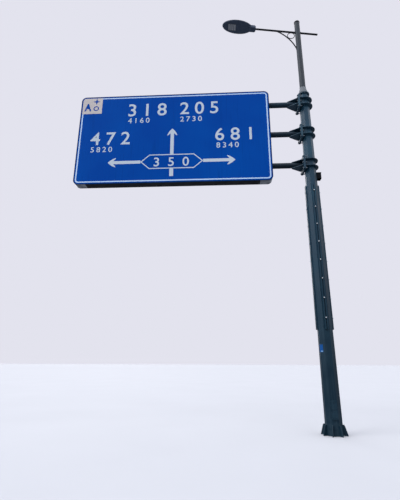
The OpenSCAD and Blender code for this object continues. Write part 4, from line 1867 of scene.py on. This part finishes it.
@dataclass
class SignBoard(Assembly):
    """Face, film graphics, frame, back rails and straps of the sign.

    Graphics are placed by u, from the left edge of the face, and v, from its lower edge.

    Attributes:
        left: left edge of the face.
        low: lower edge of the face.
        front: front of the face.
        wide: width of the face.
        tall: height of the face.
        corner: radius of the face's corners.
        margin: blue margin outside the white line.
        rim: width of the white line.
        seal: width of the dark lacquer that seals the film's edge.
        film: thickness of the film. Real film is 0.4 mm; it is drawn at 0.8 mm to keep clear.
        sheet: thickness of the face sheet.
        frame_gap: set-back of the edge frame from the face's edge.
        frame_deep: depth of the edge frame.
        leg: length of a corner piece along each edge.
        back_rails: upright rails on the back.
        first_rail: first of them, in from the edge next to the pole.
        strap_back: back of the strap's flat foot.
        strap_hole: distance of a strap's bolt from the axis of the arm.
        rivet_in: distance of a rivet from the nearest edge.
        crossing: middle of the crossing that the arrows lead to.
        hexagon: half of the hexagon's flat side, half of its length and half of its height.
    """

    left: float = -5.701
    low: float = 5.448
    front: float = -0.142
    wide: float = 4.800
    tall: float = 2.500
    corner: float = 0.120
    margin: float = 0.044
    rim: float = 0.030
    seal: float = 0.018
    film: float = 0.0008
    sheet: float = 0.003
    frame_gap: float = 0.004
    frame_deep: float = 0.225
    leg: float = 0.300
    back_rails: int = 8
    first_rail: float = 0.200
    strap_back: float = -0.0675
    strap_hole: float = 0.0915
    rivet_in: float = 0.030
    crossing: Point2 = (2.385, 0.565)
    hexagon: tuple[float, float, float] = (0.545, 0.766, 0.196)

    def build(self) -> None:
        """Dresses the CAD nodes and lays the film graphics."""
        dress(SIGN_BLUE, "sign_face")
        dress(FRAME_DARK, *(f"sign_frame_{side}" for side in ("bottom", "top", "left", "right")))
        dress(CORNER_MILL, "sign_corner_plates")
        dress(BACK_RAIL, "sign_back_rails")
        dress(ZINC_STRAP, "sign_straps")
        self._rim()
        self._arrows()
        self._hexagon()
        self._tile()
        self._numbers()
        self._film_joints()
        self._rivets()
        self._strap_bolts()

    def on_face(self, u: float = 0.0, v: float = 0.0, lift: float = 0.0) -> Matrix:
        """Gives a frame on the face: X to the right, Y up, Z straight out of it."""
        place = Matrix.Translation((self.left + u, self.front - lift, self.low + v))
        return place @ OUT_OF_FACE

    def _inset(self, inset: float, radius: float) -> list[Point2]:
        """Gives the face's outline moved in by an inset, with its own corner radius."""
        return rounded_rectangle(inset, inset, self.wide - inset, self.tall - inset, radius)

    def _band(
        self, builder: Builder, outer: Sequence[Point2], inner: Sequence[Point2], lift: float = 0.0
    ) -> None:
        """Lays a closed band of film between two outlines of the same number of points.

        Args:
            builder: the piece that gets it.
            outer: outer outline on the face.
            inner: inner outline on the face.
            lift: height of its underside above the face.
        """
        rings = []
        for outline, z in ((inner, 0.0), (outer, 0.0), (outer, self.film), (inner, self.film)):
            rings.append([Vector((x, y, z)) for x, y in outline])
        builder.shell(rings, self.on_face(lift=lift), caps=False, loop=True)

    def _rim(self) -> None:
        """Lays the white line round the face and the dark lacquer along its edge."""
        white = Builder("film_white_line")
        m, n = self.margin, self.margin + self.rim
        self._band(white, self._inset(m, self.corner - m), self._inset(n, self.corner - n + 0.008))
        white.done(SIGN_LINE)
        lacquer = Builder("film_edge_seal")
        m, n = 0.001, 0.001 + self.seal
        self._band(lacquer, self._inset(m, self.corner - m), self._inset(n, self.corner - n))
        lacquer.done(EDGE_SEAL)

    def _film_joints(self) -> None:
        """Lays the hairlines where the face's four sheets and their films meet."""
        builder = Builder("film_joints")
        half, low, high = 0.0012, 0.002, self.tall - 0.002
        for i in (1, 2, 3):
            u = self.wide * i / 4
            outline = ((u - half, low), (u + half, low), (u + half, high), (u - half, high))
            builder.slab(outline, self.on_face(lift=-0.0006), self.film)
        builder.done(FILM_JOINT)

    def _rivets(self) -> None:
        """Sets blind rivets through the corner pieces, on their outer web and their back fold."""
        builder = Builder("corner_rivets")
        dome = ((0.0065, 0.0), (0.0062, 0.0012), (0.0042, 0.0026), (0.0015, 0.0031))
        middle = Vector((self.left + self.wide / 2, 0.0, self.low + self.tall / 2))
        half_u, half_v = self.wide / 2 - self.frame_gap, self.tall / 2 - self.frame_gap
        back = self.front + self.sheet + self.frame_deep
        for s in (-1, 1):
            for t in (-1, 1):
                for run in (self.rivet_in, 0.120):
                    for deep in (0.060, 0.165):
                        y = self.front + self.sheet + deep
                        u, v = half_u - self.leg + run, half_v - self.leg + run
                        low = middle + Vector((s * u, y, t * half_v))
                        builder.lathe(dome, aim(low, UP * t), 16)
                        side = middle + Vector((s * half_u, y, t * v))
                        builder.lathe(dome, aim(side, Vector((s, 0, 0))), 16)
                    for spot in (
                        Vector((s * (half_u - self.leg + run), back, t * (half_v - self.rivet_in))),
                        Vector((s * (half_u - self.rivet_in), back, t * (half_v - self.leg + run))),
                    ):
                        builder.lathe(dome, aim(middle + spot, Vector((0, 1, 0))), 16)
        builder.done(CORNER_MILL)

    def _strap_bolts(self) -> None:
        """Sets the two bolts that pull each pipe strap on to its back rail."""
        builder = Builder("strap_bolts")
        bolt = Bolt(across=0.019, head=0.008, washer=0.024, washer_thick=0.0025)
        for i in range(self.back_rails):
            step = (self.wide - 2 * self.first_rail) / (self.back_rails - 1)
            x = self.left + self.wide - self.first_rail - i * step
            for arm in ArmPlace:
                for side in (-1, 1):
                    seat = Vector((x, self.strap_back, arm.value + side * self.strap_hole))
                    bolt.build(builder, aim(seat, Vector((0, 1, 0))), 0.3 * i + side)
        builder.done(ZINC_BOLT)

    def _arrow(self, builder: Builder, tip: Point2, turn_deg: float, length: float) -> None:
        """Lays one arrow with swept-back barbs.

        Args:
            builder: the piece that gets it.
            tip: place of its tip.
            turn_deg: turn from pointing up.
            length: length from tip to tail.
        """
        half = 0.042
        barb, back = 0.126, 0.196
        side = [
            (0.022, -0.018),
            (0.060, -0.062),
            (0.094, -0.112),
            (0.116, -0.156),
            (barb, -back),
            (0.098, -0.186),
            (0.072, -0.160),
            (half, -0.136),
        ]
        outline = [(0.0, 0.0)] + [(-x, y) for x, y in side] + [(-half, -length), (half, -length)]
        outline += list(reversed(side))
        place = self.on_face(tip[0], tip[1]) @ Matrix.Rotation(math.radians(turn_deg), 4, "Z")
        builder.slab(outline, place, self.film)

    def _arrows(self) -> None:
        """Lays the three arrows and the short stub of road under the crossing."""
        builder = Builder("film_arrows")
        u, v = self.crossing
        self._arrow(builder, (u, 1.48), 0, 0.72)
        self._arrow(builder, (0.820, v), 90, 0.805)
        self._arrow(builder, (3.923, v), -90, 0.773)
        stub = ((2.339, 0.165), (2.432, 0.165), (2.432, 0.369), (2.339, 0.369))
        builder.slab(stub, self.on_face(), self.film)
        builder.done(SIGN_WHITE)

    def _hexagon(self) -> None:
        """Lays the thin long hexagon round the crossing."""
        builder = Builder("film_hexagon")
        self._band(builder, self._hexagon_outline(0.0), self._hexagon_outline(0.024))
        builder.done(SIGN_WHITE)

    def _hexagon_outline(self, inset: float) -> list[Point2]:
        """Gives the long hexagon's corners.

        Args:
            inset: distance by which its sides are moved in.

        Returns:
            The six corners, anticlockwise.
        """
        u, v = self.crossing
        flat, tip, half = self.hexagon
        end, run, rise = tip - inset * 1.5, flat - inset * 0.35, half - inset
        return [
            (u + end, v),
            (u + run, v + rise),
            (u - run, v + rise),
            (u - end, v),
            (u - run, v - rise),
            (u + run, v - rise),
        ]

    def _tile(self) -> None:
        """Lays the pale tile in the upper left corner with a north arrow and a compass star."""
        builder = Builder("film_tile")
        inset = 0.040
        left, low, right, high = inset, 1.991, 0.547, self.tall - inset
        radius = self.corner - inset
        outline = [(left, low), (right, low), (right, high)]
        for i in range(9):
            angle = math.radians(90 + 90 * i / 8)
            outline.append(
                (left + radius + radius * math.cos(angle), high - radius + radius * math.sin(angle))
            )
        builder.slab(outline, self.on_face(lift=self.film), self.film)
        builder.done(TILE_GREY)
        signs = Builder("film_tile_compass")
        u, v = 0.178, 2.072
        needle = (
            (u - 0.092, v),
            (u - 0.052, v),
            (u - 0.034, v + 0.056),
            (u, v + 0.078),
            (u + 0.034, v + 0.056),
            (u + 0.052, v),
            (u + 0.092, v),
            (u + 0.014, v + 0.232),
            (u - 0.014, v + 0.232),
        )
        signs.slab(needle, self.on_face(lift=2 * self.film), self.film)
        star_u, star_v = 0.395, 2.357
        star = []
        for i in range(8):
            angle = math.pi / 2 + i * math.pi / 4
            reach = 0.095 if i % 2 == 0 else 0.030
            star.append((star_u + reach * math.cos(angle), star_v + reach * math.sin(angle)))
        signs.slab(star, self.on_face(lift=2 * self.film), self.film)
        ring_u, ring_v = 0.395, 2.147
        outer = [(ring_u + p.x, ring_v + p.y) for p in circle(0.072, 40)]
        inner = [(ring_u + p.x, ring_v + p.y) for p in circle(0.046, 40)]
        self._band(signs, outer, inner, 2 * self.film)
        signs.done(SIGN_BLUE)

    def _numbers(self) -> None:
        """Sets the plain numbers, in five large rows and four small ones."""
        rows = (
            ("318", (1.345, 1.725, 2.105), 1.885, 0.374),
            ("205", (2.680, 3.055, 3.430), 1.898, 0.365),
            ("472", (0.455, 0.835, 1.215), 1.076, 0.369),
            ("681", (3.555, 3.935, 4.310), 1.114, 0.359),
            ("350", (2.020, 2.375, 2.730), 0.439, 0.246),
        )
        digits: list[tuple[str, float, float, float]] = []
        for text, places, v, height in rows:
            digits += [(sign, u, v, height) for sign, u in zip(text, places)]
        small = (
            ("4160", 1.300, 1.68),
            ("2730", 2.620, 1.68),
            ("5820", 0.400, 0.871),
            ("8340", 3.520, 0.907),
        )
        for text, u, v in small:
            digits += [(sign, u + 0.150 * i, v, 0.150) for i, sign in enumerate(text)]
        builder = Builder("film_numbers")
        for sign, u, v, height in digits:
            self._digit(builder, sign, u, v, height)
        builder.done(SIGN_WHITE)

    def _digit(self, builder: Builder, sign: str, u: float, v: float, height: float) -> None:
        """Cuts one digit from film with its middle at u and its foot at v.

        Args:
            builder: the piece that gets it.
            sign: the digit.
            u: place of its middle.
            v: place of its foot.
            height: height of the digit.
        """
        curve = bpy.data.curves.new("digit", type="FONT")
        curve.body = sign
        share_of_size, bolder, at_height = 0.73, 0.005, 0.36
        curve.size = height / share_of_size
        curve.offset = bolder * height / at_height
        curve.extrude = self.film / 2
        curve.align_x = "CENTER"
        curve.resolution_u = 6
        holder = bpy.data.objects.new("digit", curve)
        bpy.context.scene.collection.objects.link(holder)
        bpy.context.view_layer.update()
        made = holder.evaluated_get(bpy.context.evaluated_depsgraph_get()).to_mesh()
        place = self.on_face(u, v, 0.0) @ Matrix.Translation((0, 0, self.film / 2))
        made.transform(place)
        builder.mesh.from_mesh(made)
        bpy.data.objects.remove(holder)
        bpy.data.curves.remove(curve)


@dataclass
class Studio(Assembly):
    """Floor, soft light and the camera at the photograph's viewing angle.

    Attributes:
        floor_z: height of the floor, 1 mm over the base flange, so that the gussets rise
            straight from it.
        eye: place of the camera.
        pitch_deg: how far the camera looks up.
        yaw_deg: how far the camera looks to the left of +Y.
        roll_deg: how far the camera is turned round its own line of sight.
        focal_px: focal length in pixels of the 400 by 500 frame.
        frame_px: longer side of the frame in pixels.
        reach: radius of the floor.
        sky: strength of the ceiling light.
        key: strength of the soft lamp in front.
        fill: strength of the soft lamp on the right.
        rim: strength of the soft lamp behind, which edges the pole.
    """

    floor_z: float = 0.026
    eye: tuple[float, float, float] = (-2.1475, -8.0210, 1.3551)
    pitch_deg: float = 16.936
    yaw_deg: float = 3.401
    roll_deg: float = 0.261
    focal_px: float = 370.0
    frame_px: float = 500.0
    reach: float = 300.0
    sky: float = 1.6
    key: float = 1.3
    fill: float = 0.32
    rim: float = 0.4

    def build(self) -> None:
        """Builds floor, light and camera."""
        self._floor()
        self._backdrop()
        self._light()
        self._camera()
        settings = bpy.context.scene.view_settings
        settings.view_transform = "Standard"
        settings.look = "None"

    def _floor(self) -> None:
        """Lays a wide round floor."""
        board = StudioFloor("pale_matt_floor", "")
        self._stage("studio_floor", [circle(self.reach, 128, self.floor_z)], board)

    def _backdrop(self) -> None:
        """Hangs an evenly lit pale curtain and ceiling round the floor, behind everything."""
        wall = [circle(self.reach, 128, z) for z in (self.floor_z, self.reach * 1.2)]
        wall.append(circle(self.reach * 0.1, 128, self.reach * 1.9))
        self._stage("studio_backdrop", wall, Backdrop("evenly_lit_pale_curtain", ""))

    def _stage(self, name: str, rings: Sequence[Sequence[Vector]], finish: Finish) -> None:
        """Makes a piece of the studio, which colours no light that falls on the object.

        Args:
            name: name of the piece.
            rings: rows of points to skin, or a single one to fill.
            finish: its finish.
        """
        shape = bmesh.new()
        made = [[shape.verts.new(p) for p in ring] for ring in rings]
        if len(made) == 1:
            shape.faces.new(made[0])
        for low, high in zip(made, made[1:]):
            for i in range(len(low)):
                j = (i + 1) % len(low)
                shape.faces.new((low[j], low[i], high[i], high[j]))
        data = bpy.data.meshes.new(name)
        shape.to_mesh(data)
        shape.free()
        data.materials.append(material_of(finish))
        stage = bpy.data.objects.new(name, data)
        stage.visible_diffuse = False
        stage.visible_glossy = False
        stage.visible_shadow = False
        bpy.context.scene.collection.objects.link(stage)
        log.info("built %s", name)

    def _light(self) -> None:
        """Lights the scene with a wide soft ceiling, a dim horizon and three soft lamps."""
        world = bpy.data.worlds.new("soft_ceiling")
        bpy.context.scene.world = world
        world.use_nodes = True
        tree = world.node_tree
        tree.nodes.clear()
        place = add_node(tree, "ShaderNodeTexCoord")
        split = add_node(tree, "ShaderNodeSeparateXYZ", {"Vector": place.outputs["Generated"]})
        # Zero straight down, a half at the horizon and one straight up.
        inputs = {"Value": split.outputs["Z"], "From Min": -1.0}
        height = add_node(tree, "ShaderNodeMapRange", inputs)
        ramp = add_node(tree, "ShaderNodeValToRGB", {"Fac": height.outputs["Result"]})
        self._fill_ramp(ramp.color_ramp)
        inputs = {"Color": ramp.outputs["Color"], "Strength": self.sky}
        sky = add_node(tree, "ShaderNodeBackground", inputs)
        add_node(tree, "ShaderNodeOutputWorld", {"Surface": sky.outputs["Background"]})
        self._sun("soft_key", (-0.76, -0.38, 0.66), self.key, 40.0)
        self._sun("soft_fill", (0.92, -0.30, 0.38), self.fill, 40.0)
        self._sun("soft_rim", (-0.30, 0.93, 0.34), self.rim, 24.0)

    def _fill_ramp(self, ramp: bpy.types.ColorRamp) -> None:
        """Sets the tones from the dark ground up to the bright ceiling.

        Args:
            ramp: the ramp, which holds its two first elements already.
        """
        tones = {0.0: "#686b73", 0.80: "#f6f7ff", 0.47: "#63676f", 0.53: "#6f747d", 0.62: "#adb2bf"}
        for element, position in zip(ramp.elements, tones):
            element.position = position
            element.color = linear(tones[position])
        for position, tone in list(tones.items())[2:]:
            ramp.elements.new(position).color = linear(tone)

    def _sun(
        self, name: str, towards: tuple[float, float, float], strength: float, spread_deg: float
    ) -> None:
        """Adds one wide distant light.

        Args:
            name: name of the light.
            towards: direction from the object to the light.
            strength: strength of the light.
            spread_deg: how wide it looks, which softens its shadows.
        """
        lamp = bpy.data.lights.new(name, "SUN")
        lamp.energy = strength
        lamp.angle = math.radians(spread_deg)
        holder = bpy.data.objects.new(name, lamp)
        holder.matrix_world = aim(Vector((0, 0, 12)), Vector(towards))
        bpy.context.scene.collection.objects.link(holder)

    def _camera(self) -> None:
        """Sets the camera where the photograph was taken."""
        data = bpy.data.cameras.new("street_camera")
        data.sensor_width = 36.0
        data.lens = self.focal_px / self.frame_px * data.sensor_width
        data.clip_end = 1500.0
        camera = bpy.data.objects.new("street_camera", data)
        turn = Matrix.Rotation(math.radians(self.yaw_deg), 4, "Z")
        lift = Matrix.Rotation(math.radians(90 + self.pitch_deg), 4, "X")
        roll = Matrix.Rotation(math.radians(self.roll_deg), 4, "Z")
        camera.matrix_world = Matrix.Translation(self.eye) @ turn @ lift @ roll
        bpy.context.scene.collection.objects.link(camera)
        bpy.context.scene.camera = camera


def main() -> None:
    """Builds the studio and every sub-assembly, from the ground up."""
    logging.basicConfig(level=logging.INFO, format="%(message)s")
    assemblies: tuple[Assembly, ...] = (
        Studio(),
        PoleFoot(),
        PoleBody(),
        SlotRails(),
        SideBox(),
        Arms(),
        LampMast(),
        LampArm(),
        LampHead(),
        SignBoard(),
    )
    for assembly in assemblies:
        log.info("building %s", type(assembly).__name__)
        assembly.build()


if __name__ == "__main__":
    main()
